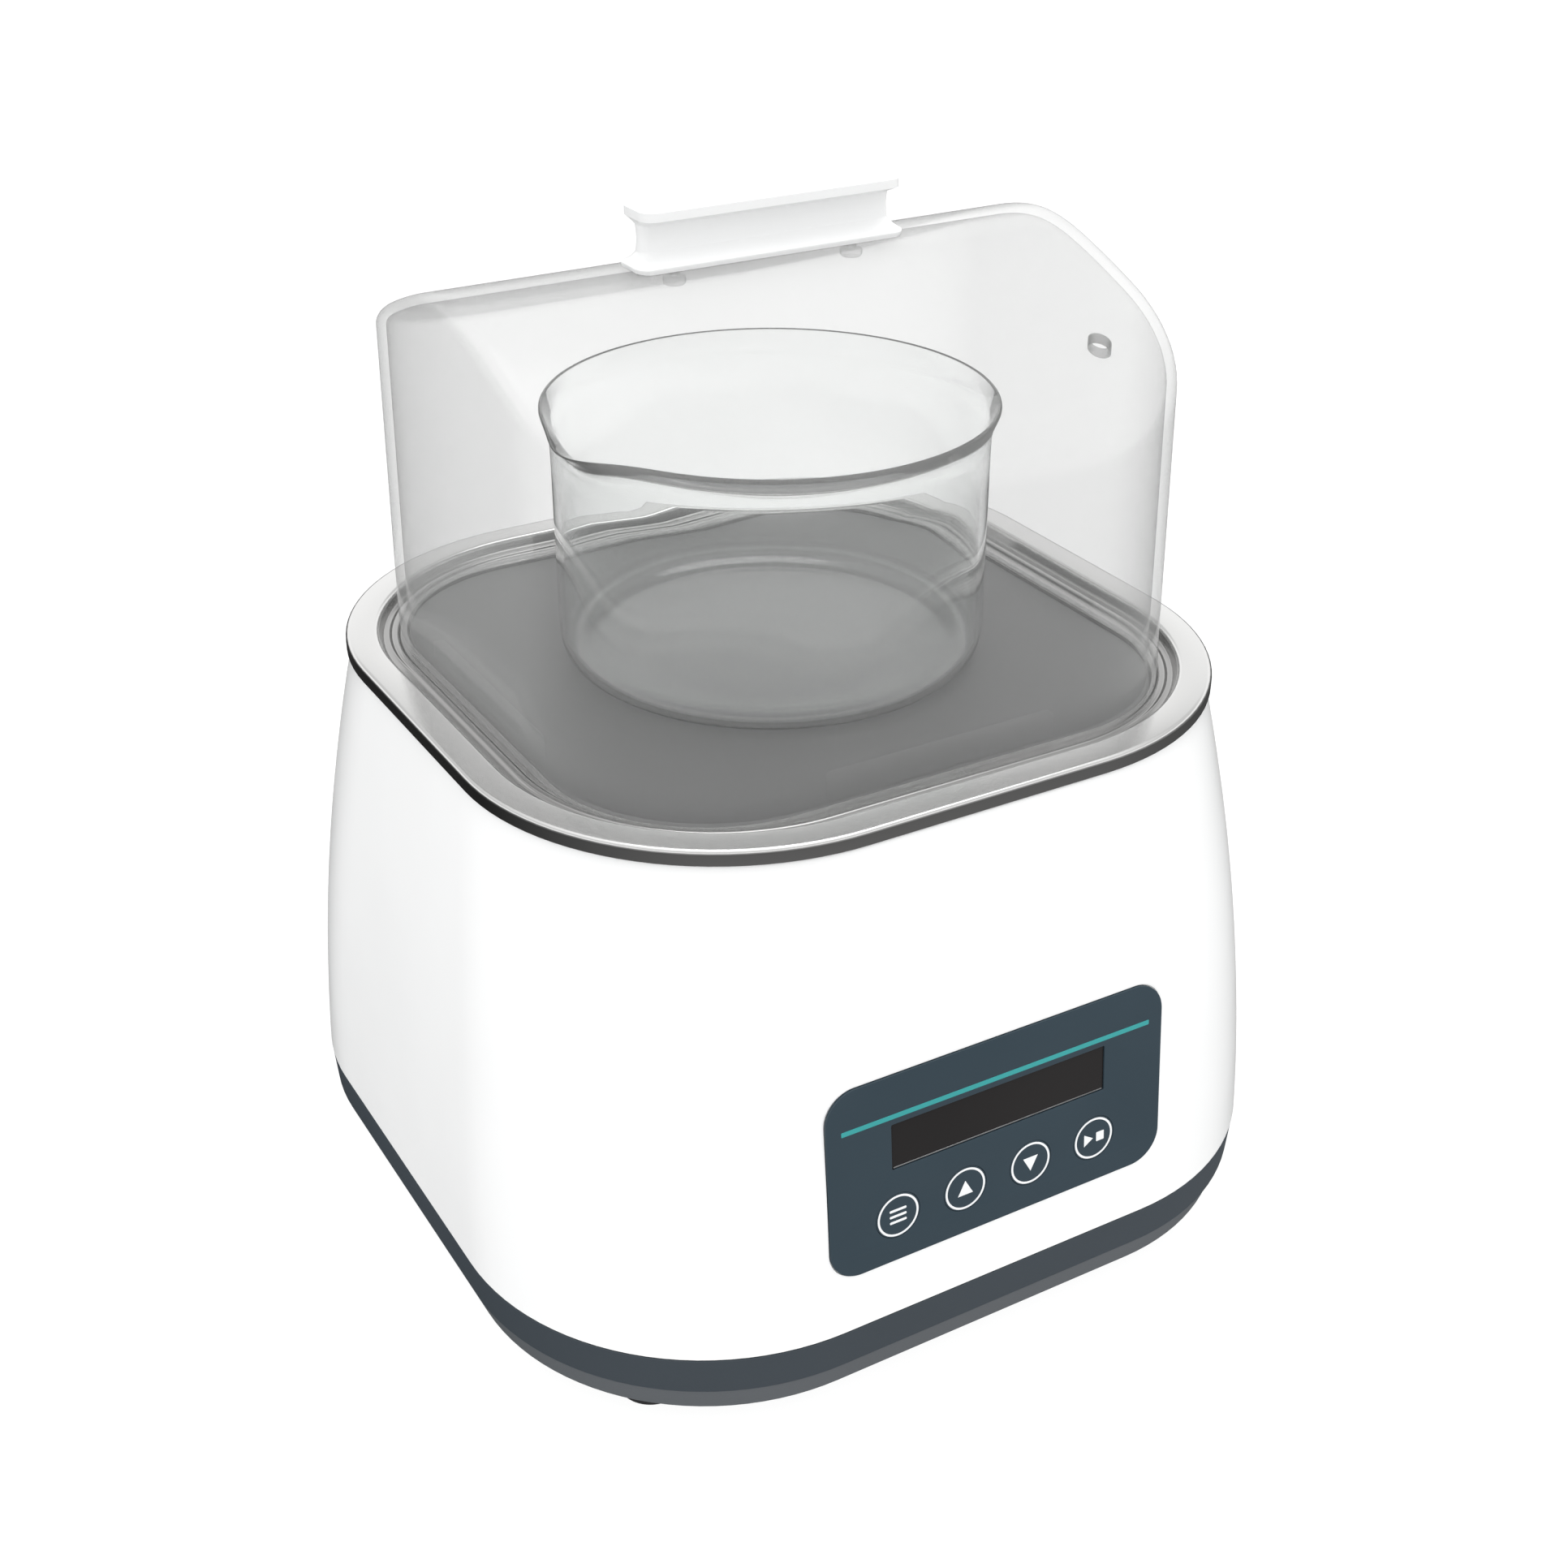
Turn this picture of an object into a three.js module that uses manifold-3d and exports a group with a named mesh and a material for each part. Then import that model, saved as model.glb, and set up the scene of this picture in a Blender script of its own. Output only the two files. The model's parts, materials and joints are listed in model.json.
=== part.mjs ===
// Bench-top water bath: a moulded housing round a deep-drawn stainless tank, with a support tray,
// a glass dish and a clear lift-off hood. Millimetres, +Z up, +X to the right of the control panel,
// which faces -Y. The origin is on the bench, at the middle of the footprint.

import * as THREE from 'three';
import Module from 'manifold-3d';
import { mergeVertices } from 'three/addons/utils/BufferGeometryUtils.js';
import { ParametricGeometry } from 'three/addons/geometries/ParametricGeometry.js';

const wasm = await Module();
wasm.setup();

// ---------------------------------------------------------------- driving dimensions
const GAP = 0.3;                      // clearance between pieces that touch
const ARC_STEPS = 6;                  // facets in each rounded corner in plan

// Heights above the bench
const BASE_BOTTOM = 5.2;              // underside of the base pan
const TIER_HEIGHT = 14.5;             // crease between the two tiers of the base
const SHELL_BOTTOM = 28.6;            // joint between base and housing
const SHELL_TOP = 183.7;              // top of the housing, under the tank's rim
const RIM_TOP = 188.9;                // flat top of the tank's rim
const LEDGE = 185.4;                  // ledge that the hood stands on
const TRAY_LEDGE = 181.4;             // ledge that the tray stands on
const TRAY_TOP = 184.2;
const TANK_FLOOR = 50;
const DISH_RIM = 267.3;
const HOOD_CREST = 311.2;
const HANDLE_TOP = 328.4;

// Half widths in plan
const RIM_HALF = 123;
const SHELL_HALF = 139.2;             // at the joint with the base
const BASE_HALF = 134.6;              // at the bottom of the base
const BULGE = { slope: 0.035, curve: 4.86e-4 };
const HOOD_HALF = 105.3;
const HOOD_TOP_HALF = 104;
const TANK_HALF = 92.5;               // inside the tank
const TRAY_HALF = 100.2;

// Corner radii in plan
const CORNER_CENTRE = 40;             // common centres of the corners of the tank and its rim
const TRAY_CENTRE = 50;               // tighter corners of the tray and of the step round it
const BEAD_CENTRE = 42;
const HOOD_CENTRE = 41;
const SHELL_RADIUS = 84;

// Wall thicknesses
const SHELL_WALL = 3;
const SHEET = 1.2;                    // stainless sheet
const HOOD_WALL = 3;
const GLASS_WALL = 2;

// Hood vault: straight slopes with a rounded ridge
const VAULT_SLOPE = 0.43;
const VAULT_ROUND = 20.85;
const VAULT_Y = 3.1;                  // the ridge and the handle stand a little behind the middle
const HOOD_FILLET = 5;
const HOOD_RIB = { half: 38, inner: 96.4, outer: 101.5, height: 8 };
const VENT = { x: 73.8, y: -63.8, radius: 3.5 };

// Control panel on the front face
const PANEL = { width: 120, height: 64, radius: 10.5, z: 80.9, thickness: 1 };
const DISPLAY = { width: 76.4, height: 15.4, y: 7.8 };
const KEY = { pitch: 23.8, x: -1, y: -16.1, radius: 7.5, flange: 8.7 };
const KEY_NAMES = ['key_menu', 'key_up', 'key_down', 'key_start_stop'];
const BOARD_FRONT = -11.3;            // depth of the control board behind the panel's face

// Rear panel
const REAR = { width: 80, height: 62, z: 72, recess: 3.7, sheet: 1.5 };
const INLET = { x: 18, width: 30, height: 48 };
const ROCKER = { x: -18, width: 17, height: 26, pivot: -5 };

// Places of what repeats
const FOOT_OFFSET = 101;
const CASE_SCREW = { x: 70, y: 126 };
const BRACKET_AT = 40;
const HANDLE_SCREW_X = 30;
const DISH_RADIUS = 67.2;

// ---------------------------------------------------------------- materials
const material = (color, roughness, metalness = 0, opacity = 1) => new THREE.MeshStandardMaterial({
  color,
  roughness,
  metalness,
  opacity,
  transparent: opacity < 1,
});
const whitePlastic = () => material(0xf4f5f5, 0.3);
const slatePlastic = () => material(0x454b54, 0.45);
const panelPlastic = () => material(0x3a4750, 0.4);
const blackPlastic = () => material(0x1d1f21, 0.5);
const rubber = () => material(0x26282a, 0.85);
const stainless = () => material(0xc4c7c9, 0.28, 1);
const zincSteel = () => material(0xa9adb0, 0.4, 1);
const clearPlastic = () => material(0xeef0f0, 0.08, 0, 0.3);
const glass = () => material(0xf2f6f6, 0.03, 0, 0.25);
const boardGreen = () => material(0x1f5a3a, 0.6);

// ---------------------------------------------------------------- geometry helpers
// One closed body: shared vertices merged, collapsed triangles dropped, faces turned outward.
function solid(geometry) {
  const bare = geometry.clone();
  bare.deleteAttribute('normal');
  bare.deleteAttribute('uv');
  const merged = mergeVertices(bare, 1e-4);
  const index = merged.index.array;
  const p = merged.attributes.position;
  const a = new THREE.Vector3();
  const b = new THREE.Vector3();
  const c = new THREE.Vector3();
  const kept = [];
  let volume = 0;
  for (let i = 0; i < index.length; i += 3) {
    const [u, v, w] = [index[i], index[i + 1], index[i + 2]];
    if (u === v || v === w || w === u) continue;
    a.fromBufferAttribute(p, u);
    b.fromBufferAttribute(p, v);
    c.fromBufferAttribute(p, w);
    volume += a.dot(b.cross(c));
    kept.push(u, v, w);
  }
  if (volume < 0) {
    for (let i = 0; i < kept.length; i += 3) {
      [kept[i + 1], kept[i + 2]] = [kept[i + 2], kept[i + 1]];
    }
  }
  merged.setIndex(kept);
  return merged;
}

function toManifold(geometry) {
  const g = solid(geometry);
  return new wasm.Manifold(new wasm.Mesh({
    numProp: 3,
    vertProperties: new Float32Array(g.attributes.position.array),
    triVerts: new Uint32Array(g.index.array),
  }));
}

function fromManifold(body) {
  const mesh = body.getMesh();
  const g = new THREE.BufferGeometry();
  g.setAttribute('position', new THREE.BufferAttribute(new Float32Array(mesh.vertProperties), 3));
  g.setIndex(new THREE.BufferAttribute(new Uint32Array(mesh.triVerts), 1));
  return g;
}

// Joins the pieces of add to base, then cuts the pieces of cut out of the result.
function shape(base, { add = [], cut = [] }) {
  let body = toManifold(base);
  for (const piece of add) body = body.add(toManifold(piece));
  for (const piece of cut) body = body.subtract(toManifold(piece));
  return fromManifold(body);
}

function box(x0, x1, y0, y1, z0, z1) {
  const g = new THREE.BoxGeometry(x1 - x0, y1 - y0, z1 - z0);
  return g.translate((x0 + x1) / 2, (y0 + y1) / 2, (z0 + z1) / 2);
}

// Upright cylinder between two heights
function post(x, y, z0, z1, radius, facets = 16) {
  const g = new THREE.CylinderGeometry(radius, radius, z1 - z0, facets);
  return g.rotateX(Math.PI / 2).translate(x, y, (z0 + z1) / 2);
}

// Solid of revolution about Z. Points are [radius, height].
function turned(points, facets = 24, x = 0, y = 0) {
  const g = new THREE.LatheGeometry(points.map(([r, z]) => new THREE.Vector2(r, z)), facets);
  return g.rotateX(Math.PI / 2).translate(x, y, 0);
}

function roundedRect(width, height, radius, cx = 0, cy = 0, Kind = THREE.Shape) {
  const [x, y] = [width / 2 - radius, height / 2 - radius];
  const s = new Kind();
  s.absarc(cx + x, cy + y, radius, 0, Math.PI / 2);
  s.absarc(cx - x, cy + y, radius, Math.PI / 2, Math.PI);
  s.absarc(cx - x, cy - y, radius, Math.PI, Math.PI * 1.5);
  s.absarc(cx + x, cy - y, radius, Math.PI * 1.5, Math.PI * 2);
  s.closePath();
  return s;
}

function prism(outline, z0, z1, curveSegments = 6) {
  const g = new THREE.ExtrudeGeometry(outline, { depth: z1 - z0, bevelEnabled: false, curveSegments });
  return g.translate(0, 0, z0);
}

// A body built up of rounded rectangles, one for each row. A row is { x, y, r, z }: half sizes,
// corner radius and height, where z may be a function of the point. With closed the last row joins
// the first, and otherwise the rows start and end on the axis, with x = y = r = 0.
function stacked(rows, { closed = false, sideSteps = 1, arcSteps = ARC_STEPS } = {}) {
  const perQuarter = arcSteps + sideSteps;
  const count = 4 * perQuarter;
  const place = (u, v, target) => {
    const row = rows[Math.round(v * (closed ? rows.length : rows.length - 1)) % rows.length];
    const j = Math.round(u * count) % count;
    const quarter = Math.floor(j / perQuarter);
    const k = j % perQuarter;
    const turn = quarter * Math.PI / 2;
    const angle = turn + Math.min(k / arcSteps, 1) * Math.PI / 2;
    const along = k > arcSteps ? (k - arcSteps) / sideSteps : 0;
    const signX = [1, -1, -1, 1];
    const signY = [1, 1, -1, -1];
    const next = (quarter + 1) % 4;
    const [cx, cy] = [row.x - row.r, row.y - row.r];
    const px = cx * (signX[quarter] * (1 - along) + signX[next] * along) + row.r * Math.cos(angle);
    const py = cy * (signY[quarter] * (1 - along) + signY[next] * along) + row.r * Math.sin(angle);
    target.set(px, py, typeof row.z === 'function' ? row.z(px, py) : row.z);
  };
  return new ParametricGeometry(place, count, closed ? rows.length : rows.length - 1);
}

// Rows of square plan: [half, height], with the corner radius from a rule or from the row's own centre
const tankRadius = (half) => Math.max(half - CORNER_CENTRE, 0);
function squareRows(list, radius) {
  const corner = (half, centre) => (centre === undefined ? radius(half) : half - centre);
  return list.map(([half, z, centre]) => ({ x: half, y: half, r: half === 0 ? 0 : corner(half, centre), z }));
}

// Half width of the barrel-shaped housing at a height
function shellHalf(z) {
  const rise = z - SHELL_BOTTOM;
  return SHELL_HALF - BULGE.slope * rise - BULGE.curve * rise * rise;
}

function vault(y) {
  return HOOD_CREST - VAULT_SLOPE * (Math.hypot(VAULT_ROUND, y - VAULT_Y) - VAULT_ROUND);
}

// ---------------------------------------------------------------- scene graph
const waterBath = new THREE.Group();

function addPart(name, geometry, look, parent = waterBath) {
  const mesh = new THREE.Mesh(solid(geometry), look);
  mesh.name = name;
  parent.add(mesh);
  return mesh;
}

// Local frame on a sloping side of the housing: +x right, +y up the face, +z out of it
function faceFrame(height, outward, turn) {
  const tilt = Math.atan(BULGE.slope + 2 * BULGE.curve * (height - SHELL_BOTTOM));
  const side = new THREE.Group();
  side.rotation.z = turn;
  const face = new THREE.Group();
  face.position.set(0, -(shellHalf(height) + outward), height);
  face.rotation.x = Math.PI / 2 - tilt;
  side.add(face);
  waterBath.add(side);
  side.updateMatrixWorld(true);
  return face;
}
const front = faceFrame(PANEL.z, 0.1, 0);
const rear = faceFrame(REAR.z, -REAR.recess, Math.PI);
const onFront = (geometry) => geometry.applyMatrix4(front.matrixWorld);
const onRear = (geometry) => geometry.applyMatrix4(rear.matrixWorld);

const corners = [[-1, -1], [1, -1], [-1, 1], [1, 1]];
const cornerNames = ['front_left', 'front_right', 'rear_left', 'rear_right'];
const keyX = (i) => (i - 1.5) * KEY.pitch + KEY.x;

// ---------------------------------------------------------------- housing
function outerShell() {
  const outer = [28.6, 52, 76, 100, 122, 142, 160, 173, 182.7].map((z) => [shellHalf(z), z]);
  const inner = outer.slice(0, 8).reverse().map(([half, z]) => [half - SHELL_WALL, z]);
  const lipEdge = TRAY_HALF + GAP + SHEET + 1.2;
  const lipUnder = SHELL_TOP - SHELL_WALL;
  const rows = [
    ...squareRows(outer, () => SHELL_RADIUS),
    ...squareRows([[121.6, SHELL_TOP]], () => SHELL_RADIUS - 0.6),
    ...squareRows([[lipEdge, SHELL_TOP, TRAY_CENTRE], [lipEdge, lipUnder, TRAY_CENTRE]]),
    ...squareRows([[119.2, lipUnder]], () => SHELL_RADIUS - SHELL_WALL),
    ...squareRows(inner, () => SHELL_RADIUS - SHELL_WALL),
  ];
  const add = [];
  const cut = [];
  for (const [sx, sy] of corners) {
    const [x, y] = [sx * CASE_SCREW.x, sy * CASE_SCREW.y];
    add.push(post(x, y, 40, 60, 6));
    add.push(box(x - 1.5, x + 1.5, Math.min(y, sy * 134), Math.max(y, sy * 134), 40, 60));
    cut.push(post(x, y, 39, 56, 2.1, 12));
    add.push(onFront(post(sx * 50, sy * 20, BOARD_FRONT + GAP, -2.4, 3.5, 14)));
    add.push(onFront(post(sx * 50, sy * 20, BOARD_FRONT - 2.6, BOARD_FRONT + 1, 1.4, 10)));
  }
  for (const side of [-1, 1]) {
    for (const along of [-BRACKET_AT, BRACKET_AT]) {
      cut.push(post(side * 106, along, lipUnder - 1, lipUnder + 2.2, 1.8, 10));
    }
  }
  const pocket = -PANEL.thickness - GAP;
  cut.push(onFront(prism(roundedRect(PANEL.width + 0.8, PANEL.height + 0.8, PANEL.radius + 0.4), pocket, 4)));
  cut.push(onFront(box(-37, 37, DISPLAY.y - 7, DISPLAY.y + 7, -9, 4)));
  for (let i = 0; i < KEY_NAMES.length; i += 1) {
    cut.push(onFront(post(keyX(i), KEY.y, -9, 4, KEY.radius + GAP)));
  }
  cut.push(onRear(prism(roundedRect(REAR.width - 8, REAR.height - 6, 4), -5, 10, 3)));
  return shape(stacked(rows, { closed: true }), { add, cut });
}
addPart('outer_shell', outerShell(), whitePlastic());

function basePan() {
  const floorTop = BASE_BOTTOM + 3.2;
  const radius = (half) => Math.min(SHELL_RADIUS, half - 54.8);
  const rows = [
    { x: 0, y: 0, r: 0, z: BASE_BOTTOM },
    ...squareRows([
      [BASE_HALF - 1, BASE_BOTTOM],
      [BASE_HALF, BASE_BOTTOM + 1],
      [137.1, TIER_HEIGHT],
      [138.2, TIER_HEIGHT + 0.8],
      [SHELL_HALF, SHELL_BOTTOM - GAP],
      [135.3, SHELL_BOTTOM - GAP],
      [135.3, 38],
      [133.1, 38],
      [133.1, floorTop],
    ], radius),
    { x: 0, y: 0, r: 0, z: floorTop },
  ];
  const add = [];
  const cut = [];
  for (const [sx, sy] of corners) {
    const [x, y] = [sx * CASE_SCREW.x, sy * CASE_SCREW.y];
    add.push(post(x, y, floorTop - 1, 39.7, 6));
    cut.push(post(x, y, BASE_BOTTOM - 1, 41, 2.1, 12));
    cut.push(post(x, y, BASE_BOTTOM - 1, 9.6, 4.2, 16));
    add.push(post(sx * FOOT_OFFSET, sy * FOOT_OFFSET, floorTop - 1, 24, 5, 16));
    cut.push(post(sx * FOOT_OFFSET, sy * FOOT_OFFSET, BASE_BOTTOM - 1, 22, 2.1, 12));
    add.push(post(sx * 52, 60 + sy * 34, floorTop - 1, 18, 4, 14));
    add.push(post(sx * 52, 60 + sy * 34, 17, 21.4, 1.4, 10));
  }
  return shape(stacked(rows), { add, cut });
}
addPart('base_pan', basePan(), slatePlastic());

corners.forEach(([sx, sy], i) => {
  const [x, y] = [sx * FOOT_OFFSET, sy * FOOT_OFFSET];
  const foot = turned([
    [2.3, 3.5], [5.2, 3.5], [5.2, 0], [10.2, 0], [11, 0.8], [11, BASE_BOTTOM - GAP], [2.3, BASE_BOTTOM - GAP],
    [2.3, 3.5],
  ], 16, x, y);
  addPart(`foot_${cornerNames[i]}`, foot, rubber());
  const footScrew = turned(
    [[0, 1.4], [3.6, 1.4], [4.2, 2], [4.2, 3.2], [1.8, 3.2], [1.8, 20], [0, 20]],
    12, x, y,
  );
  addPart(`foot_screw_${cornerNames[i]}`, footScrew, zincSteel());
  const caseScrew = turned(
    [[0, 6.9], [3.4, 6.9], [3.9, 7.5], [3.9, 9.3], [1.8, 9.3], [1.8, 54], [0, 54]],
    12, sx * CASE_SCREW.x, sy * CASE_SCREW.y,
  );
  addPart(`case_screw_${cornerNames[i]}`, caseScrew, zincSteel());
});

// ---------------------------------------------------------------- tank and its fixings
function tank() {
  const inside = TANK_HALF;
  const outside = TANK_HALF + SHEET;
  const step = TRAY_HALF + GAP;
  const floorUnder = TANK_FLOOR - SHEET;
  const list = [
    [0, TANK_FLOOR],
    [inside - 12, TANK_FLOOR],
    [inside - 6, TANK_FLOOR + 1.6],
    [inside - 1.6, TANK_FLOOR + 6],
    [inside, TANK_FLOOR + 12],
    [inside, TRAY_LEDGE],
    [step, TRAY_LEDGE, TRAY_CENTRE],
    [step, LEDGE, TRAY_CENTRE],
    [105.2, LEDGE, BEAD_CENTRE],
    [106.2, LEDGE + 0.9, BEAD_CENTRE],
    [107.6, LEDGE + 0.9, BEAD_CENTRE],
    [108.6, LEDGE, BEAD_CENTRE],
    [111.2, LEDGE],
    [112.3, RIM_TOP - 0.6],
    [113, RIM_TOP],
    [RIM_HALF - 1.5, RIM_TOP],
    [RIM_HALF - 0.4, RIM_TOP - 0.5],
    [RIM_HALF, RIM_TOP - 1.6],
    [RIM_HALF, SHELL_TOP + GAP],
    [RIM_HALF - SHEET, SHELL_TOP + GAP],
    [RIM_HALF - SHEET, RIM_TOP - SHEET],
    [113.6, RIM_TOP - SHEET],
    [112.4, LEDGE - SHEET],
    [step + SHEET, LEDGE - SHEET, TRAY_CENTRE],
    [step + SHEET, TRAY_LEDGE - SHEET, TRAY_CENTRE],
    [outside, TRAY_LEDGE - SHEET],
    [outside, TANK_FLOOR + 12],
    [outside - 1.8, TANK_FLOOR + 5.5],
    [outside - 6.4, floorUnder + 1.7],
    [outside - 12, floorUnder],
    [0, floorUnder],
  ];
  const stud = post(0, 0, 34, floorUnder + 0.4, 3, 12);
  return shape(stacked(squareRows(list, tankRadius)), { add: [stud] });
}
addPart('tank', tank(), stainless());

const squareRing = (half0, half1, z0, z1) => stacked(
  squareRows([[half0, z0], [half1, z0], [half1, z1], [half0, z1]], tankRadius),
  { closed: true },
);
addPart('rim_gasket', squareRing(114.2, 121.4, SHELL_TOP + GAP, RIM_TOP - SHEET - GAP), rubber());
addPart('tank_insulation', squareRing(94.1, 100.5, 66, 150), material(0xd8d4c6, 0.95));

let bracketNumber = 0;
for (const side of [-1, 1]) {
  for (const along of [-BRACKET_AT, BRACKET_AT]) {
    bracketNumber += 1;
    const under = TRAY_LEDGE - SHEET - GAP;
    const wall = TANK_HALF + SHEET + GAP;
    const arm = box(wall, 112, along - 12, along + 12, under - 1.5, under);
    const leg = box(wall, wall + 1.5, along - 12, along + 12, 153, under);
    const bracket = shape(arm, { add: [leg], cut: [post(106, along, under - 3, under + 2, 1.8, 10)] });
    const head = under - 1.5 - GAP;
    const screw = turned([[0, head - 2.4], [2.6, head - 2.4], [3, head - 1.9], [3, head], [1.5, head],
      [1.5, SHELL_TOP - 1.2], [0, SHELL_TOP - 1.2]], 10, 106, along);
    const turn = side > 0 ? 0 : Math.PI;
    addPart(`tank_bracket_${bracketNumber}`, bracket.rotateZ(turn), zincSteel());
    addPart(`bracket_screw_${bracketNumber}`, screw.rotateZ(turn), zincSteel());
  }
}

// Heater, held to the tank's floor by a plate and a nut on the stud
const tankUnder = TANK_FLOOR - SHEET;
const heaterTop = tankUnder - GAP;
addPart('heater_pad', shape(prism(roundedRect(116, 116, 14), heaterTop - 3, heaterTop), {
  cut: [post(0, 0, 40, 60, 3.6, 14)],
}), material(0xb5482c, 0.8));
addPart('heater_clamp_plate', shape(prism(roundedRect(122, 122, 12), heaterTop - 4.8, heaterTop - 3.3), {
  cut: [post(0, 0, 40, 60, 3.6, 14)],
}), zincSteel());
addPart('heater_nut', shape(post(0, 0, heaterTop - 10, heaterTop - 5.1, 6, 6), {
  cut: [post(0, 0, 30, 60, 3.4, 14)],
}), zincSteel());
addPart('thermal_cutout', turned(
  [[0, 40.5], [7, 40.5], [7, 44.5], [8.4, 44.5], [8.4, heaterTop], [0, heaterTop]], 20, 72, 0,
), blackPlastic());
addPart('temperature_probe', shape(box(-79, -67, -12, 12, 44.2, heaterTop), {
  add: [new THREE.CylinderGeometry(2, 2, 40, 12).translate(-73, 0, 46.4)],
}), zincSteel());

// ---------------------------------------------------------------- control panel
function controlPanel() {
  const outline = roundedRect(PANEL.width, PANEL.height, PANEL.radius);
  outline.holes.push(roundedRect(DISPLAY.width + 0.6, DISPLAY.height + 0.6, 1, 0, DISPLAY.y, THREE.Path));
  const groove = box(-55.4, 55.4, 17.1, 19.5, -0.6, 2);
  const keyHoles = KEY_NAMES.map((name, i) => post(keyX(i), KEY.y, -3, 2, KEY.radius + GAP));
  return shape(prism(outline, -PANEL.thickness, 0, 5), { cut: [groove, ...keyHoles] });
}
addPart('control_panel', controlPanel(), panelPlastic(), front);
addPart('panel_stripe', box(-55, 55, 17.5, 19.1, -GAP, 0.05), material(0x3aa5a5, 0.4), front);
addPart('display_window', prism(roundedRect(DISPLAY.width, DISPLAY.height, 0.8, 0, DISPLAY.y), -0.95, -0.15),
  material(0x2b2828, 0.12), front);
addPart('display_module', box(-42, 42, DISPLAY.y - 12, DISPLAY.y + 12, BOARD_FRONT + GAP, -4.4),
  blackPlastic(), front);

KEY_NAMES.forEach((name, i) => {
  const { radius, flange } = KEY;
  const cap = turned([[0, 0], [radius, 0], [radius, -4.4], [flange, -4.4], [flange, -5.2], [2.5, -5.2],
    [2.5, -6.1], [0, -6.1]], 16, keyX(i), KEY.y);
  addPart(name, cap, panelPlastic(), front);
  const tact = box(keyX(i) - 3, keyX(i) + 3, KEY.y - 3, KEY.y + 3, BOARD_FRONT + GAP, -7.1);
  addPart(`tact_switch_${i + 1}`, tact, blackPlastic(), front);
});

addPart('control_board', shape(box(-56, 56, -25, 25, BOARD_FRONT - 1.6, BOARD_FRONT), {
  cut: corners.map(([sx, sy]) => post(sx * 50, sy * 20, BOARD_FRONT - 3, BOARD_FRONT + 1, 1.8, 10)),
}), boardGreen(), front);

// ---------------------------------------------------------------- power electronics
addPart('power_board', shape(box(-60, 60, 20, 100, 18.3, 19.9), {
  cut: corners.map(([sx, sy]) => post(sx * 52, 60 + sy * 34, 17, 22, 1.8, 10)),
}), boardGreen());
addPart('transformer', shape(box(-46, -8, 40, 80, 20.2, 32), {
  add: [box(-40, -14, 34, 86, 21.5, 39)],
}), material(0x6a5a3c, 0.7));
addPart('heater_relay', box(14, 28, 40, 68, 20.2, 38), material(0x20407a, 0.5));
addPart('filter_capacitor', post(40, 78, 20.2, 38, 7, 20), blackPlastic());

// ---------------------------------------------------------------- rear plate, mains inlet and rocker
addPart('rear_plate', shape(prism(roundedRect(REAR.width, REAR.height, 3), -REAR.sheet, 0, 3), {
  cut: [
    box(INLET.x - 13.8, INLET.x + 13.8, -22.8, 22.8, -3, 3),
    box(ROCKER.x - 7.6, ROCKER.x + 7.6, -12.1, 12.1, -3, 3),
  ],
}), zincSteel(), rear);

function mainsInlet() {
  const { x } = INLET;
  const [halfX, halfY] = [INLET.width / 2, INLET.height / 2];
  const cavity = new THREE.Shape();
  cavity.moveTo(x - 12.2, 16.4);
  cavity.lineTo(x - 12.2, 4);
  cavity.lineTo(x - 8.2, 0);
  cavity.lineTo(x + 8.2, 0);
  cavity.lineTo(x + 12.2, 4);
  cavity.lineTo(x + 12.2, 16.4);
  cavity.closePath();
  const pin = (px, py) => box(px - 1, px + 1, py - 2, py + 2, -17, -3.4);
  const body = shape(box(x - halfX, x + halfX, -halfY, halfY, GAP, 2), {
    add: [box(x - 13.5, x + 13.5, -22.5, 22.5, -20, 0.8)],
    cut: [prism(cavity, -16, 3), box(x - 11.4, x + 11.4, -17.4, -8.6, -18, 3)],
  });
  return shape(body, { add: [pin(x - 7, 9), pin(x + 7, 9), pin(x, 5)] });
}
addPart('mains_inlet', mainsInlet(), blackPlastic(), rear);
addPart('fuse_drawer', shape(box(INLET.x - 11, INLET.x + 11, -17, -9, -17, 2.2), {
  add: [box(INLET.x - 4, INLET.x + 4, -17, -15.6, 1.8, 3.4)],
  cut: [box(INLET.x - 9.4, INLET.x + 9.4, -15.2, -8, -15.4, -1)],
}), blackPlastic(), rear);
const fuse = new THREE.CylinderGeometry(2.1, 2.1, 18, 12).rotateZ(Math.PI / 2);
addPart('fuse', fuse.translate(INLET.x, -12.6, -8), zincSteel(), rear);

function rockerFrame() {
  const { x } = ROCKER;
  const [halfX, halfY] = [ROCKER.width / 2, ROCKER.height / 2];
  return shape(box(x - halfX, x + halfX, -halfY, halfY, GAP, 2), {
    add: [box(x - 7.3, x + 7.3, -11.8, 11.8, -13, 0.8)],
    cut: [
      box(x - 5.8, x + 5.8, -10.3, 10.3, -14, 4),
      new THREE.CylinderGeometry(1.5, 1.5, 20, 12).rotateZ(Math.PI / 2).translate(x, 0, ROCKER.pivot),
    ],
  });
}
addPart('rocker_frame', rockerFrame(), blackPlastic(), rear);

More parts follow.
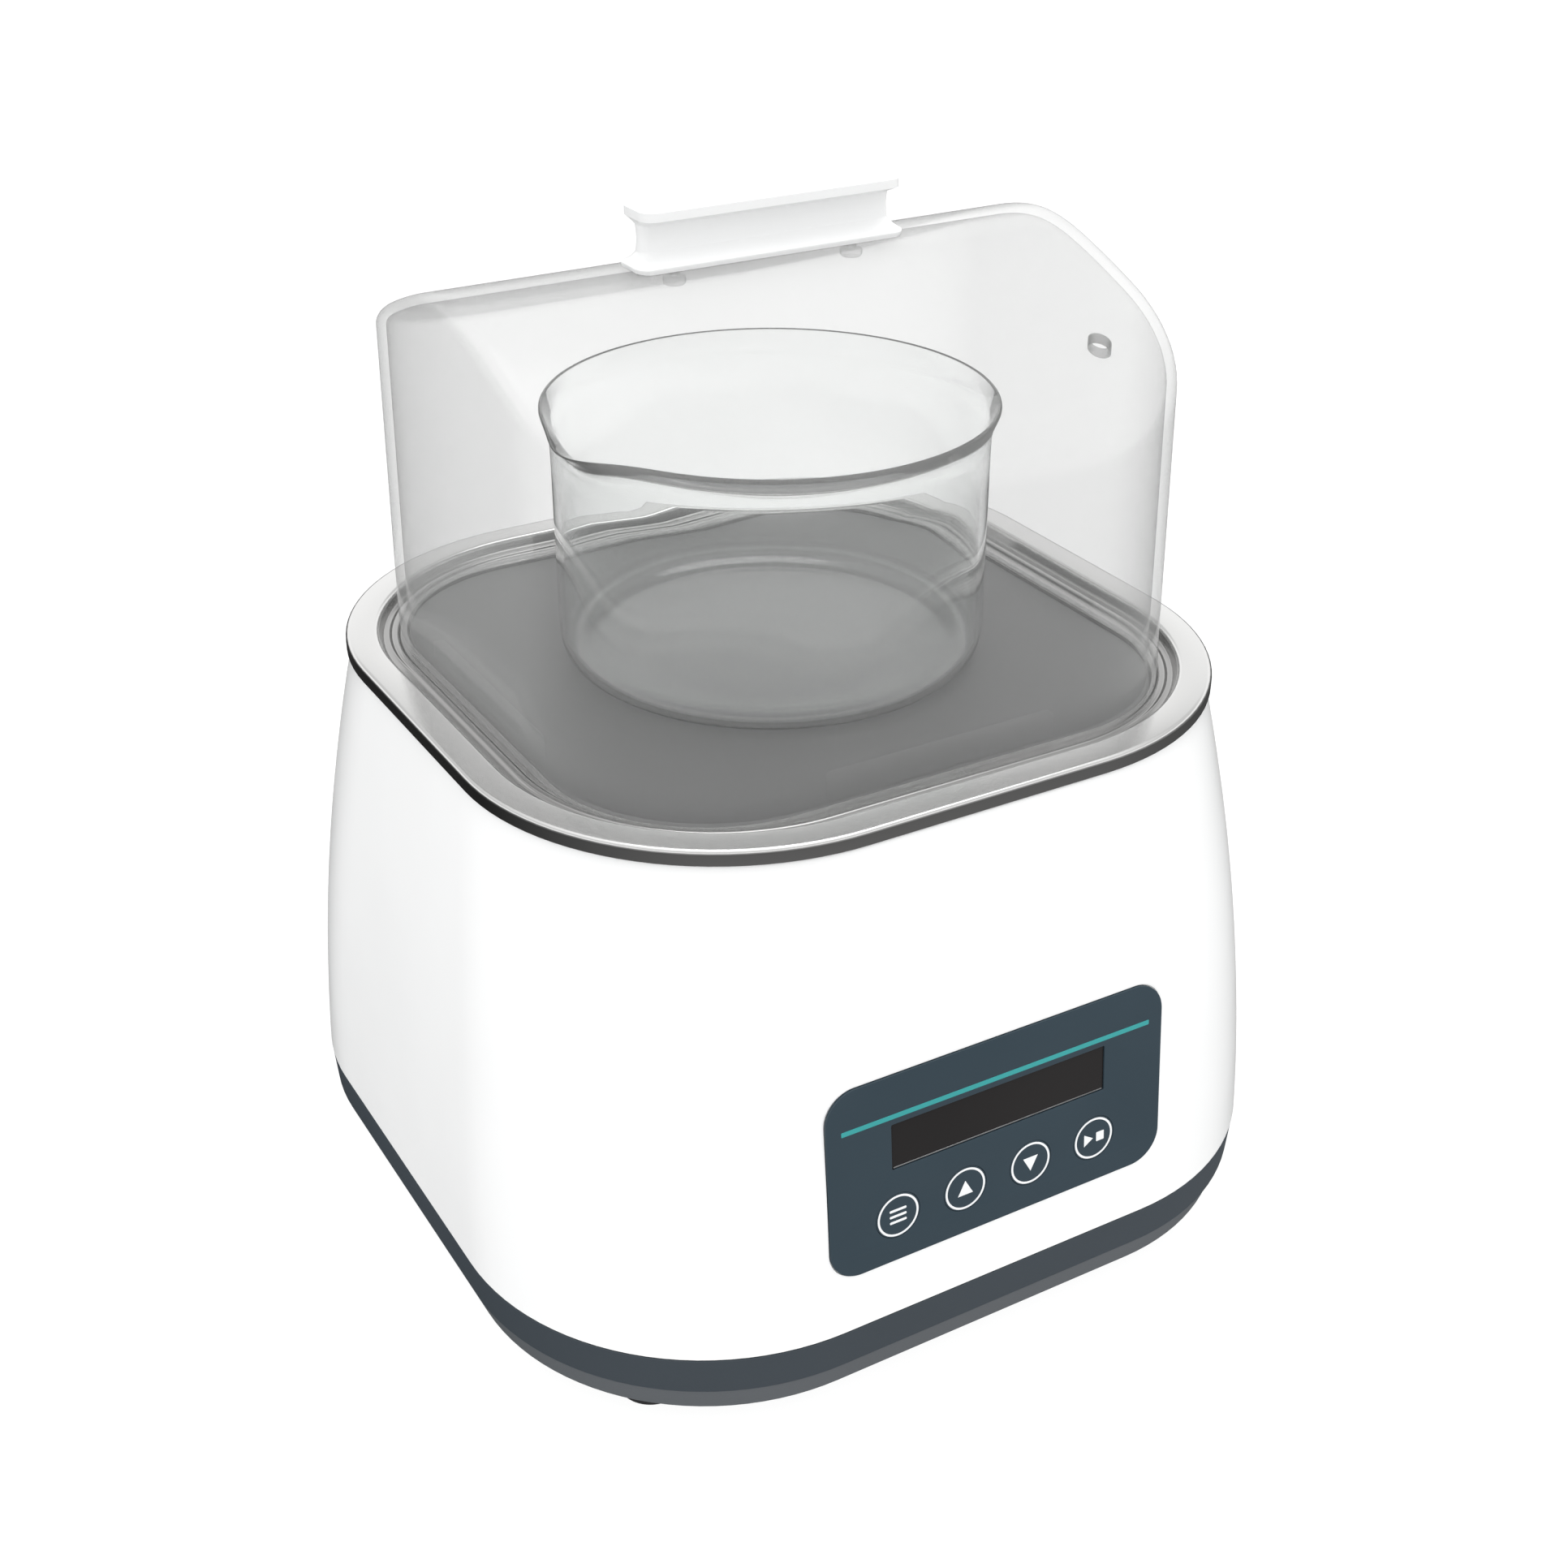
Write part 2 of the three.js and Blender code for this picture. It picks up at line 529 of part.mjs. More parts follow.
function rockerSwitch() {
  const outline = new THREE.Shape();
  outline.moveTo(-6.2, -9);
  outline.lineTo(6.2, -9);
  outline.lineTo(9.1, -3);
  outline.lineTo(9.1, 3);
  outline.quadraticCurveTo(0, 1, -9.1, 3);
  outline.lineTo(-9.1, -3);
  outline.closePath();
  const bar = new THREE.ExtrudeGeometry(outline, { depth: 10.8, bevelEnabled: false, curveSegments: 6 });
  bar.rotateY(Math.PI / 2).rotateX(Math.PI / 2);
  bar.translate(ROCKER.x - 5.4, 0, 0);
  const pins = new THREE.CylinderGeometry(1.2, 1.2, 13.8, 12).rotateZ(Math.PI / 2);
  return shape(bar, { add: [pins.translate(ROCKER.x, 0, ROCKER.pivot)] });
}
addPart('rocker_switch', rockerSwitch(), blackPlastic(), rear);

// ---------------------------------------------------------------- tray and dish
const trayUnder = TRAY_LEDGE + GAP;
addPart('support_tray', stacked(squareRows([
  [0, TRAY_TOP],
  [TRAY_HALF - 1, TRAY_TOP],
  [TRAY_HALF, TRAY_TOP - 0.8],
  [TRAY_HALF, trayUnder],
  [TRAY_HALF - 1.4, trayUnder],
  [TRAY_HALF - 1.4, TRAY_TOP - 1.5],
  [0, TRAY_TOP - 1.5],
], (half) => half - TRAY_CENTRE)), material(0x76797b, 0.5, 0.3));

function glassDish() {
  const floor = TRAY_TOP + GAP;
  const dish = turned([
    [0, floor], [57, floor], [62, floor + 1.2], [65.4, floor + 4.4], [66.8, floor + 9],
    [DISH_RADIUS, floor + 14], [DISH_RADIUS, DISH_RIM - 10], [67.7, DISH_RIM - 5.5],
    [69, DISH_RIM - 2.2], [70.2, DISH_RIM - 0.5], [69.6, DISH_RIM],
    [68.4, DISH_RIM - 0.4], [66.4, DISH_RIM - 3.2], [65.4, DISH_RIM - 6.2],
    [DISH_RADIUS - GLASS_WALL, DISH_RIM - 10], [DISH_RADIUS - GLASS_WALL, floor + 14], [64.6, floor + 9.6],
    [63.2, floor + 6], [60.6, floor + 3.2], [56.6, floor + GLASS_WALL], [0, floor + GLASS_WALL],
  ], 40);
  // The pouring lip: the rim is drawn outward and down over a short arc.
  const spoutAngle = THREE.MathUtils.degToRad(188);
  const spoutWidth = THREE.MathUtils.degToRad(13);
  const p = dish.attributes.position;
  for (let i = 0; i < p.count; i += 1) {
    const [x, y, z] = [p.getX(i), p.getY(i), p.getZ(i)];
    const radius = Math.hypot(x, y);
    const off = Math.atan2(Math.sin(Math.atan2(y, x) - spoutAngle), Math.cos(Math.atan2(y, x) - spoutAngle));
    const rise = THREE.MathUtils.clamp((z - DISH_RIM + 14) / 14, 0, 1);
    const pull = 6 * rise * rise * Math.exp(-((off / spoutWidth) ** 2));
    if (pull > 0.01 && radius > 50) {
      p.setXYZ(i, x * (radius + pull) / radius, y * (radius + pull) / radius, z - 0.3 * pull * rise);
    }
  }
  return dish;
}
addPart('glass_dish', glassDish(), glass());

// ---------------------------------------------------------------- hood
function hoodShell() {
  const foot = LEDGE + GAP;
  const row = (half, z, centre = HOOD_CENTRE) => (
    { x: half, y: half, r: half === 0 ? 0 : Math.max(half - centre, 2), z });
  const roof = (half, drop) => row(half, (x, y) => vault(y) - drop);
  const roofRings = [0, 9, 18, 29, 42, 60, 80];
  const inTop = HOOD_TOP_HALF - HOOD_WALL;
  const drop = HOOD_WALL + 0.2;
  const rows = [
    ...roofRings.map((half) => roof(half, 0)),
    roof(HOOD_TOP_HALF - HOOD_FILLET, 0),
    roof(HOOD_TOP_HALF - 0.5 * HOOD_FILLET, 0.134 * HOOD_FILLET),
    roof(HOOD_TOP_HALF - 0.134 * HOOD_FILLET, 0.5 * HOOD_FILLET),
    roof(HOOD_TOP_HALF, HOOD_FILLET),
    row(HOOD_HALF, 201),
    row(HOOD_HALF - 0.2, 196, 42),
    row(HOOD_HALF - 0.7, 191.5, 43.5),
    row(HOOD_HALF - 1.3, 188, 45.5),
    row(HOOD_HALF - 2, foot, 47),
    row(HOOD_HALF - 5, foot, 47),
    row(HOOD_HALF - 4.3, 188.6, 45.5),
    row(HOOD_HALF - 3.7, 192.2, 43.5),
    row(HOOD_HALF - 3.2, 196.6, 42),
    row(HOOD_HALF - 3, 201),
    roof(inTop, drop + 2.4),
    roof(inTop - 0.7, drop + 0.7),
    roof(inTop - 2.4, drop),
    ...roofRings.toReversed().map((half) => roof(half, drop)),
  ];
  const { half, inner, outer, height } = HOOD_RIB;
  const rib = (turn) => box(inner, outer, -half, half, foot, foot + height).rotateZ(turn * Math.PI / 2);
  return shape(stacked(rows, { sideSteps: 5 }), {
    add: [0, 1, 2, 3].map(rib),
    cut: [
      post(VENT.x, VENT.y, 270, 320, VENT.radius, 20),
      post(-HANDLE_SCREW_X, VAULT_Y, 300, 320, 1.6, 12),
      post(HANDLE_SCREW_X, VAULT_Y, 300, 320, 1.6, 12),
    ],
  });
}
addPart('hood_shell', hoodShell(), clearPlastic());

// Spool-shaped grip: two flanges and a thin web with hollow ends
function hoodHandle() {
  const seat = (x, y) => vault(y + VAULT_Y) + GAP;
  const row = (x, y, r, z) => ({ x, y, r, z });
  const up = (h) => HOOD_CREST + h;
  const top = HANDLE_TOP - HOOD_CREST;
  const rows = [
    row(0, 0, 0, seat),
    row(44.6, 7.4, 4, seat),
    row(45, 7.8, 4.4, (x, y) => seat(x, y) + 1.2),
    row(44.6, 7.4, 4, up(1.8)),
    row(43, 5.2, 3.6, up(2.7)),
    row(41.8, 3.5, 3, up(4.5)),
    row(41.4, 2.7, 2.6, up(7.4)),
    row(41.4, 2.7, 2.6, up(10.6)),
    row(41.7, 3.6, 3, up(12.8)),
    row(42.2, 5.8, 3.6, up(13.8)),
    row(42.8, 7.8, 4, up(14.2)),
    row(43, 8.2, 4.2, up(14.7)),
    row(43, 8.2, 4.2, up(top - 0.6)),
    row(42.4, 7.6, 4, up(top)),
    row(0, 0, 0, up(top)),
  ];
  const grip = stacked(rows, { sideSteps: 1, arcSteps: 5 });
  return shape(grip.translate(0, VAULT_Y, 0), {
    cut: [-1, 1].map((s) => post(s * HANDLE_SCREW_X, VAULT_Y, 305, up(10), 1.5, 12)),
  });
}
addPart('hood_handle', hoodHandle(), material(0xf0f1f1, 0.25, 0, 0.8));

[-1, 1].forEach((side, i) => {
  const head = HOOD_CREST - HOOD_WALL - 0.4 - GAP;
  const screw = turned([[0, head - 2.4], [2.8, head - 2.4], [3.4, head - 1.8], [3.4, head], [1.2, head],
    [1.2, HOOD_CREST + 9], [0, HOOD_CREST + 9]], 12, side * HANDLE_SCREW_X, VAULT_Y);
  addPart(`handle_screw_${i + 1}`, screw, material(0xf0f1f1, 0.35));
});

export default waterBath;
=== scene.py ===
import json
import math

import bmesh
import bpy
import numpy as np
from mathutils import Matrix, Vector

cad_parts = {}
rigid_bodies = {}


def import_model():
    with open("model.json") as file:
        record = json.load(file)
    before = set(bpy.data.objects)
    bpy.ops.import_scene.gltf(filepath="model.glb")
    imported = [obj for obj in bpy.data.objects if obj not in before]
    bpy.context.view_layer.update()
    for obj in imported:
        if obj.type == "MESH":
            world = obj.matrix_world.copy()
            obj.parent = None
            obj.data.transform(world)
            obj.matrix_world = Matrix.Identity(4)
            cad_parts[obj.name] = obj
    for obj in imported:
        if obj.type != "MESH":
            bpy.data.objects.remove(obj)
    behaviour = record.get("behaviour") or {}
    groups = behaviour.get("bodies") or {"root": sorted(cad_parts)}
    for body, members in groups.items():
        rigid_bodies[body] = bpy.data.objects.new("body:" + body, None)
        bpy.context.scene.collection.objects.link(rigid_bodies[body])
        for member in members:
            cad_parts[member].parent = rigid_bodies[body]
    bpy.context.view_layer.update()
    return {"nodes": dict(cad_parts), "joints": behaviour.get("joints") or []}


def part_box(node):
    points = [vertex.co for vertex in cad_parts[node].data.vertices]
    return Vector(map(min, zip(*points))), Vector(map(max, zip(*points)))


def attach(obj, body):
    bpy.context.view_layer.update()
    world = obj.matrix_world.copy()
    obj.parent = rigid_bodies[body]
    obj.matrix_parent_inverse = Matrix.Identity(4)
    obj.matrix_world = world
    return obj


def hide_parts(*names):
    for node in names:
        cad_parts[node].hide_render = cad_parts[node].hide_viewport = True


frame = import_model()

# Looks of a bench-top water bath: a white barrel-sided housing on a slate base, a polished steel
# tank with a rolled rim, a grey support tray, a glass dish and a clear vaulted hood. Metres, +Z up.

MM = 0.001

# ---------------------------------------------------------------- sizes, most of them from the frame
SHELL_BOTTOM, SHELL_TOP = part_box("outer_shell")[0].z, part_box("outer_shell")[1].z
SHELL_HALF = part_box("outer_shell")[1].x
BASE_BOTTOM, BASE_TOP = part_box("base_pan")[0].z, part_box("base_pan")[1].z
RIM_HALF, RIM_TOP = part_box("tank")[1].x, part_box("tank")[1].z
TRAY_HALF, TRAY_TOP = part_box("support_tray")[1].x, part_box("support_tray")[1].z
TRAY_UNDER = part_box("support_tray")[0].z
DISH_FLOOR, DISH_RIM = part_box("glass_dish")[0].z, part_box("glass_dish")[1].z
DISH_RIM_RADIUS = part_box("glass_dish")[1].x
HOOD_FOOT, HOOD_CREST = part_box("hood_shell")[0].z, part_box("hood_shell")[1].z
HOOD_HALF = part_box("hood_shell")[1].x
HANDLE_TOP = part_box("hood_handle")[1].z
VAULT_Y = (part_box("hood_handle")[0].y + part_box("hood_handle")[1].y) / 2

GAP = 0.3 * MM
LEDGE = HOOD_FOOT - GAP                # ledge of the tank that the hood stands on
TRAY_LEDGE = TRAY_UNDER - GAP
TANK_FLOOR = 50 * MM
TANK_HALF = 92.5 * MM
SHEET = 1.2 * MM
TIER_HEIGHT = 14.5 * MM
SHELL_RADIUS = 84 * MM
SHELL_WALL = 3 * MM
BULGE_SLOPE = 0.035                    # lean of the housing's side at its foot
BULGE_CURVE = 0.486                    # and how much more it leans per metre, halved
CORNER_CENTRE = 40 * MM                # common centres of the corners of the tank and its rim
TRAY_CENTRE = 50 * MM                  # tighter corners of the tray and of the step round it
BEAD_CENTRE = 42 * MM
HOOD_CENTRE = 41 * MM
HOOD_FOOT_CENTRE = 47 * MM
HOOD_RIB = {"half": 38 * MM, "inner": 96.4 * MM, "outer": 100.2 * MM, "height": 8 * MM}
HOOD_TOP_HALF = 104 * MM
HOOD_WALL = 3 * MM
HOOD_FILLET = 5 * MM
VAULT_SLOPE = 0.43
VAULT_ROUND = 20.85 * MM
VENT = (73.8 * MM, -63.8 * MM, 3.5 * MM)
PANEL = {"width": 120 * MM, "height": 64 * MM, "radius": 10.5 * MM, "thickness": 1 * MM}
WINDOW = {"width": 76.4 * MM, "height": 15.4 * MM, "y": 7.8 * MM}
KEY_RADIUS = 7.6 * MM
KEY_FLANGE = 8.7 * MM
KEY_RING = 7.1 * MM
PRINT_LOW, PRINT_HIGH, PRINT_EDGE = -0.04 * MM, 0.05 * MM, 0.02 * MM      # printed marks on the keys
CASE_SCREW = (70 * MM, 126 * MM)
POST_RADIUS = 6 * MM                   # posts of housing and base round the case screws
SCREW_HOLE = 2.1 * MM
KEYS = {"key_menu": "menu_key", "key_up": "up_key",
        "key_down": "down_key", "key_start_stop": "start_stop_key"}       # node and its body
CORNERS = {"front_left": (-1, -1), "front_right": (1, -1), "rear_left": (-1, 1), "rear_right": (1, 1)}

ARC_STEPS = 26
SIDE_STEPS = 20
SHARP = math.radians(32)


# ---------------------------------------------------------------- shape helpers
def shell_half(z):
    """Half width of the barrel-shaped housing at a height."""
    rise = z - SHELL_BOTTOM
    return SHELL_HALF - BULGE_SLOPE * rise - BULGE_CURVE * rise * rise


def vault(x, y):
    """Height of the hood's roof: straight slopes with a rounded ridge."""
    return HOOD_CREST - VAULT_SLOPE * (math.hypot(VAULT_ROUND, y - VAULT_Y) - VAULT_ROUND)


def plan(half_x, half_y, radius, z, side_steps=SIDE_STEPS):
    """Rounded rectangle, anticlockwise. z is a height or a function of x and y."""
    arcs = []
    for quarter, (sx, sy) in enumerate(((1, 1), (-1, 1), (-1, -1), (1, -1))):
        angles = (quarter + np.linspace(0, 1, ARC_STEPS + 1)) * math.pi / 2
        centre = np.array((sx * (half_x - radius), sy * (half_y - radius)))
        arcs.append(centre + radius * np.stack((np.cos(angles), np.sin(angles)), axis=1))
    points = []
    for arc, following in zip(arcs, arcs[1:] + arcs[:1]):
        points.extend(arc)
        for share in np.linspace(0, 1, side_steps + 1)[1:-1]:
            points.append(arc[-1] * (1 - share) + following[0] * share)
    return [(x, y, z(x, y) if callable(z) else z) for x, y in points]


def circle(radius, z, facets, centre=(0, 0)):
    turns = np.arange(facets) * 2 * math.pi / facets
    return [(centre[0] + radius * math.cos(a), centre[1] + radius * math.sin(a), z) for a in turns]


def rounded(corners, steps=6):
    """A profile with its corners rounded. A corner is (numbers ..., reach of its rounding)."""
    spots = [np.array(c[:-1], float) for c in corners]
    points = [spots[0]]
    for before, spot, after, corner in zip(spots, spots[1:], spots[2:], corners[1:]):
        back, on = before - spot, after - spot
        reach = min(corner[-1], 0.45 * np.linalg.norm(back[:2]), 0.45 * np.linalg.norm(on[:2]))
        if reach <= 0:
            points.append(spot)
            continue
        start = spot + back / np.linalg.norm(back[:2]) * reach
        end = spot + on / np.linalg.norm(on[:2]) * reach
        for t in np.linspace(0, 1, steps + 1):
            points.append(start * (1 - t) ** 2 + spot * 2 * t * (1 - t) + end * t * t)
    return points + [spots[-1]]


def loft(rings, start=None, end=None, closed=False):
    """Vertices, faces and each vertex's length along the profile, for a skin through equal rings."""
    vertices, faces, lengths = [], [], []
    count = len(rings[0])
    length, last = 0.0, np.array(rings[0][0])
    for ring in rings:
        length += float(np.linalg.norm(np.array(ring[0]) - last))
        last = np.array(ring[0])
        vertices.extend(ring)
        lengths.extend([length] * count)
    steps = len(rings) if closed else len(rings) - 1
    for i in range(steps):
        low, high = i * count, (i + 1) % len(rings) * count
        for j in range(count):
            k = (j + 1) % count
            faces.append((low + j, low + k, high + k, high + j))
    for pole, first in ((start, 0), (end, (len(rings) - 1) * count)):
        if pole is not None:
            vertices.append(pole)
            lengths.append(lengths[first])
            for j in range(count):
                faces.append((len(vertices) - 1, first + (j + 1) % count, first + j))
    return vertices, faces, lengths


def mesh_object(name, vertices, faces, lengths=None):
    mesh = bpy.data.meshes.new(name)
    mesh.from_pydata([tuple(v) for v in vertices], [], faces)
    if lengths is not None:
        mesh.attributes.new("profile", "FLOAT", "POINT").data.foreach_set("value", lengths)
    skin = bmesh.new()
    skin.from_mesh(mesh)
    bmesh.ops.remove_doubles(skin, verts=skin.verts, dist=1e-6)
    bmesh.ops.recalc_face_normals(skin, faces=skin.faces)
    skin.to_mesh(mesh)
    skin.free()
    made = bpy.data.objects.new(name, mesh)
    bpy.context.scene.collection.objects.link(made)
    return made


def square_loft(name, profile, start=None, end=None, closed=False):
    """profile holds (half width, height, corner radius)."""
    rings = [plan(half, half, radius, z) for half, z, radius in profile]
    poles = [None if z is None else (0, 0, z) for z in (start, end)]
    return mesh_object(name, *loft(rings, *poles, closed))


def turned(name, profile, facets=64, centre=(0, 0)):
    """Solid of revolution. profile holds (radius, height), and starts and ends near the axis."""
    rings = [circle(radius, z, facets, centre) for radius, z in profile]
    return mesh_object(name, *loft(rings, (*centre, profile[0][1]), (*centre, profile[-1][1])))


def turned_ring(name, profile, facets=64, centre=(0, 0)):
    rings = [circle(radius, z, facets, centre) for radius, z in profile]
    return mesh_object(name, *loft(rings, closed=True))


def block(name, low, high):
    corners = [(x, y, z) for z in (low[2], high[2]) for x, y in
               ((low[0], low[1]), (high[0], low[1]), (high[0], high[1]), (low[0], high[1]))]
    return mesh_object(name, corners, [(0, 3, 2, 1), (4, 5, 6, 7), (0, 1, 5, 4), (1, 2, 6, 5),
                                       (2, 3, 7, 6), (3, 0, 4, 7)])


def rod(radius, z0, z1, centre=(0, 0), facets=40):
    return turned("rod", [(radius, z0), (radius, z1)], facets, centre)


def rounded_outline(width, height, radius, centre=(0, 0), steps=12):
    points = []
    for quarter, (sx, sy) in enumerate(((1, 1), (-1, 1), (-1, -1), (1, -1))):
        for k in range(steps + 1):
            angle = (quarter + k / steps) * math.pi / 2
            points.append((centre[0] + sx * (width / 2 - radius) + radius * math.cos(angle),
                           centre[1] + sy * (height / 2 - radius) + radius * math.sin(angle)))
    return points


def ring_outline(radius, centre=(0, 0), steps=72):
    return [point[:2] for point in circle(radius, 0, steps, centre)]


def plate(name, outlines, z0, z1, bevel):
    """A flat piece with rounded edges. The first outline is its edge, the others are holes or islands."""
    curve = bpy.data.curves.new(name, "CURVE")
    curve.dimensions = "2D"
    curve.fill_mode = "BOTH"
    curve.extrude = (z1 - z0) / 2 - bevel
    curve.bevel_depth = bevel
    curve.bevel_resolution = 3
    curve.offset = -bevel
    for outline in outlines:
        spline = curve.splines.new("POLY")
        spline.points.add(len(outline) - 1)
        for point, (x, y) in zip(spline.points, outline):
            point.co = (x, y, 0, 1)
        spline.use_cyclic_u = True
    drawn = bpy.data.objects.new(name, curve)
    bpy.context.scene.collection.objects.link(drawn)
    filled = drawn.evaluated_get(bpy.context.evaluated_depsgraph_get())
    mesh = bpy.data.meshes.new_from_object(filled)
    mesh.transform(Matrix.Translation((0, 0, (z0 + z1) / 2)))
    faces = [tuple(p.vertices) for p in mesh.polygons]
    vertices = [v.co.copy() for v in mesh.vertices]
    bpy.data.objects.remove(drawn)
    return mesh_object(name, vertices, faces)


def placed(piece, matrix):
    piece.data.transform(matrix)
    return piece


def carve(piece, add=(), cut=()):
    """Joins the solids of add to the piece, then takes the solids of cut away."""
    tools = []
    for operation, solids in (("UNION", add), ("DIFFERENCE", cut)):
        if solids:
            group = bpy.data.collections.new(operation)
            for solid in solids:
                group.objects.link(solid)
            change = piece.modifiers.new(operation, "BOOLEAN")
            change.operation = operation
            change.solver = "EXACT"
            change.operand_type = "COLLECTION"
            change.collection = group
            tools.append(group)
    changed = piece.evaluated_get(bpy.context.evaluated_depsgraph_get())
    mesh = bpy.data.meshes.new_from_object(changed)
    piece.modifiers.clear()
    piece.data = mesh
    for group in tools:
        for solid in list(group.objects):
            bpy.data.objects.remove(solid)
        bpy.data.collections.remove(group)
    return piece


def finish_piece(piece, material, slot, body, *nodes, sharp=SHARP):
    """Gives a piece its finish, its place on a body and the CAD nodes that it stands for."""
    piece.data.materials.clear()
    piece.data.materials.append(material)
    piece.data.polygons.foreach_set("use_smooth", [True] * len(piece.data.polygons))
    piece.data.set_sharp_from_angle(angle=sharp)
    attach(piece, body)
    if nodes:
        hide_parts(*nodes)
    return piece


def face_frame(node, outward, thickness):
    """Frame on the outer face of a flat node: x to the right, y up the face and z out of it."""
    low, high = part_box(node)
    origin = (low + high) / 2 + outward * thickness / 2
    up = (Vector((0, 0, 1)) - outward * outward.z).normalized()
    right = up.cross(outward)
    columns = Matrix((right, up, outward)).transposed().to_4x4()
    return Matrix.Translation(origin) @ columns


# ---------------------------------------------------------------- materials
class Look:
    """A Principled material and the few nodes that these finishes need."""

    def __init__(self, name, **sockets):
        self.material = bpy.data.materials.new(name)
        self.material.use_nodes = True
        self.tree = self.material.node_tree
        self.shader = self.tree.nodes["Principled BSDF"]
        for socket, value in sockets.items():
            self.shader.inputs[socket.replace("_", " ")].default_value = value

    def node(self, kind, **settings):
        made = self.tree.nodes.new(kind)
        for key, value in settings.items():
            setattr(made, key, value)
        return made

    def link(self, source, target):
        self.tree.links.new(source, target)

    def noise(self, scale, detail=3.0, stretch=(1, 1, 1)):
        """Noise over the piece's own coordinates. The scale is in cells per metre."""
        place = self.node("ShaderNodeTexCoord")
        mapping = self.node("ShaderNodeMapping")
        mapping.inputs["Scale"].default_value = stretch
        texture = self.node("ShaderNodeTexNoise")
        texture.inputs["Scale"].default_value = scale
        texture.inputs["Detail"].default_value = detail
        self.link(place.outputs["Object"], mapping.inputs["Vector"])
        self.link(mapping.outputs["Vector"], texture.inputs["Vector"])
        return texture.outputs["Fac"]

    def tiers(self, factor, colors, height, low, high, cloud=0.04):
        """Base colour that changes at a height, with the factor's faint cloud over both colours."""
        place = self.node("ShaderNodeTexCoord")
        split = self.node("ShaderNodeSeparateXYZ")
        self.link(place.outputs["Object"], split.inputs["Vector"])
        rise = self.span(split.outputs["Z"], 0.0, 1.0, low, high)
        tone = self.node("ShaderNodeValToRGB")
        tone.color_ramp.interpolation = "CONSTANT"
        tone.color_ramp.elements[0].color = (*colors[0], 1)
        tone.color_ramp.elements[1].color = (*colors[1], 1)
        tone.color_ramp.elements[1].position = (height - low) / (high - low)
        self.link(rise, tone.inputs["Fac"])
        clouded = self.node("ShaderNodeVectorMath", operation="SCALE")
        self.link(tone.outputs["Color"], clouded.inputs["Vector"])
        self.link(self.span(factor, 1 - cloud, 1 + cloud, 0.3, 0.7), clouded.inputs["Scale"])
        self.link(clouded.outputs["Vector"], self.shader.inputs["Base Color"])

    def mottle(self, factor, color, spread):
        """Base colour that wanders by a share of itself."""
        ramp = self.node("ShaderNodeValToRGB")
        ramp.color_ramp.elements[0].position = 0.3
        ramp.color_ramp.elements[1].position = 0.7
        ramp.color_ramp.elements[0].color = (*(c * (1 - spread) for c in color), 1)
        ramp.color_ramp.elements[1].color = (*(min(c * (1 + spread), 1) for c in color), 1)
        self.link(factor, ramp.inputs["Fac"])
        self.link(ramp.outputs["Color"], self.shader.inputs["Base Color"])

    def span(self, factor, low, high, start, end):
        """Runs from low to high as the factor goes from start to end."""
        span = self.node("ShaderNodeMapRange")
        for key, value in (("From Min", start), ("From Max", end), ("To Min", low), ("To Max", high)):
            span.inputs[key].default_value = value
        self.link(factor, span.inputs["Value"])
        return span.outputs["Result"]

    def spread(self, factor, socket, low, high, start=0.3, end=0.7):
        self.link(self.span(factor, low, high, start, end), self.shader.inputs[socket])

    def bump(self, factor, depth, strength=1.0):
        """Relief of a depth in metres."""
        relief = self.node("ShaderNodeBump")
        relief.inputs["Strength"].default_value = strength
        relief.inputs["Distance"].default_value = depth
        self.link(factor, relief.inputs["Height"])
        self.link(relief.outputs["Normal"], self.shader.inputs["Normal"])


def moulded(name, color, roughness, grain=900, depth=0.02 * MM, spread=0.03, **sockets):
    """Moulded, coated or woven stuff: a faint cloud in its colour and gloss over a fine relief."""
    look = Look(name, **sockets)
    cloud = look.noise(18)
    look.mottle(cloud, color, spread)
    look.spread(cloud, "Roughness", roughness * 0.88, roughness * 1.12)
    look.bump(look.noise(grain, 2.0), depth)
    return look.material


def steel(name, colors, roughness, lines=3500, depth=0.00004 * MM):
    """Sheet steel with fine lines that run round the piece. It is darker below the rim's top: painted shade
    on the step and a painted dark reflection on the rim's outer side.
    """
    look = Look(name, Metallic=1.0)
    place = look.node("ShaderNodeTexCoord")
    profile = look.node("ShaderNodeAttribute", attribute_name="profile")
    split = look.node("ShaderNodeSeparateXYZ")
    look.link(place.outputs["Object"], split.inputs["Vector"])
    joined = look.node("ShaderNodeCombineXYZ")
    for source, scale, socket in ((profile.outputs["Fac"], lines, "X"), (split.outputs["X"], 30, "Y"),
                                  (split.outputs["Y"], 30, "Z")):
        scaled = look.node("ShaderNodeMath", operation="MULTIPLY")
        scaled.inputs[1].default_value = scale
        look.link(source, scaled.inputs[0])
        look.link(scaled.outputs["Value"], joined.inputs[socket])
    brush = look.node("ShaderNodeTexNoise")
    brush.inputs["Scale"].default_value = 1.0
    brush.inputs["Detail"].default_value = 2.0
    look.link(joined.outputs["Vector"], brush.inputs["Vector"])
    # Painted shade: the first colour, below halfway from the ledge to the rim's top, darkens the step and
    # the rim's outer side.
    look.tiers(brush.outputs["Fac"], colors, (RIM_TOP + LEDGE) / 2, 0, RIM_TOP + 1 * MM, 0.006)
    look.spread(brush.outputs["Fac"], "Roughness", roughness * 0.95, roughness * 1.05)
    look.bump(brush.outputs["Fac"], depth)
    return look.material


def base_tiers_painted_light(name, colors, roughness):
    """Satin moulding of the base, lighter below its crease: painted light from the bright floor on the
    lower tier.
    """
    look = Look(name, Specular_IOR_Level=0.4)
    cloud = look.noise(18)
    # Painted light: the first colour, below the crease, is lighter as if lit from the bright floor below.
    look.tiers(cloud, colors, TIER_HEIGHT + 0.4 * MM, 0, BASE_TOP)
    look.spread(cloud, "Roughness", roughness * 0.88, roughness * 1.12)
    look.bump(look.noise(2600, 2.0), 0.02 * MM)
    return look.material


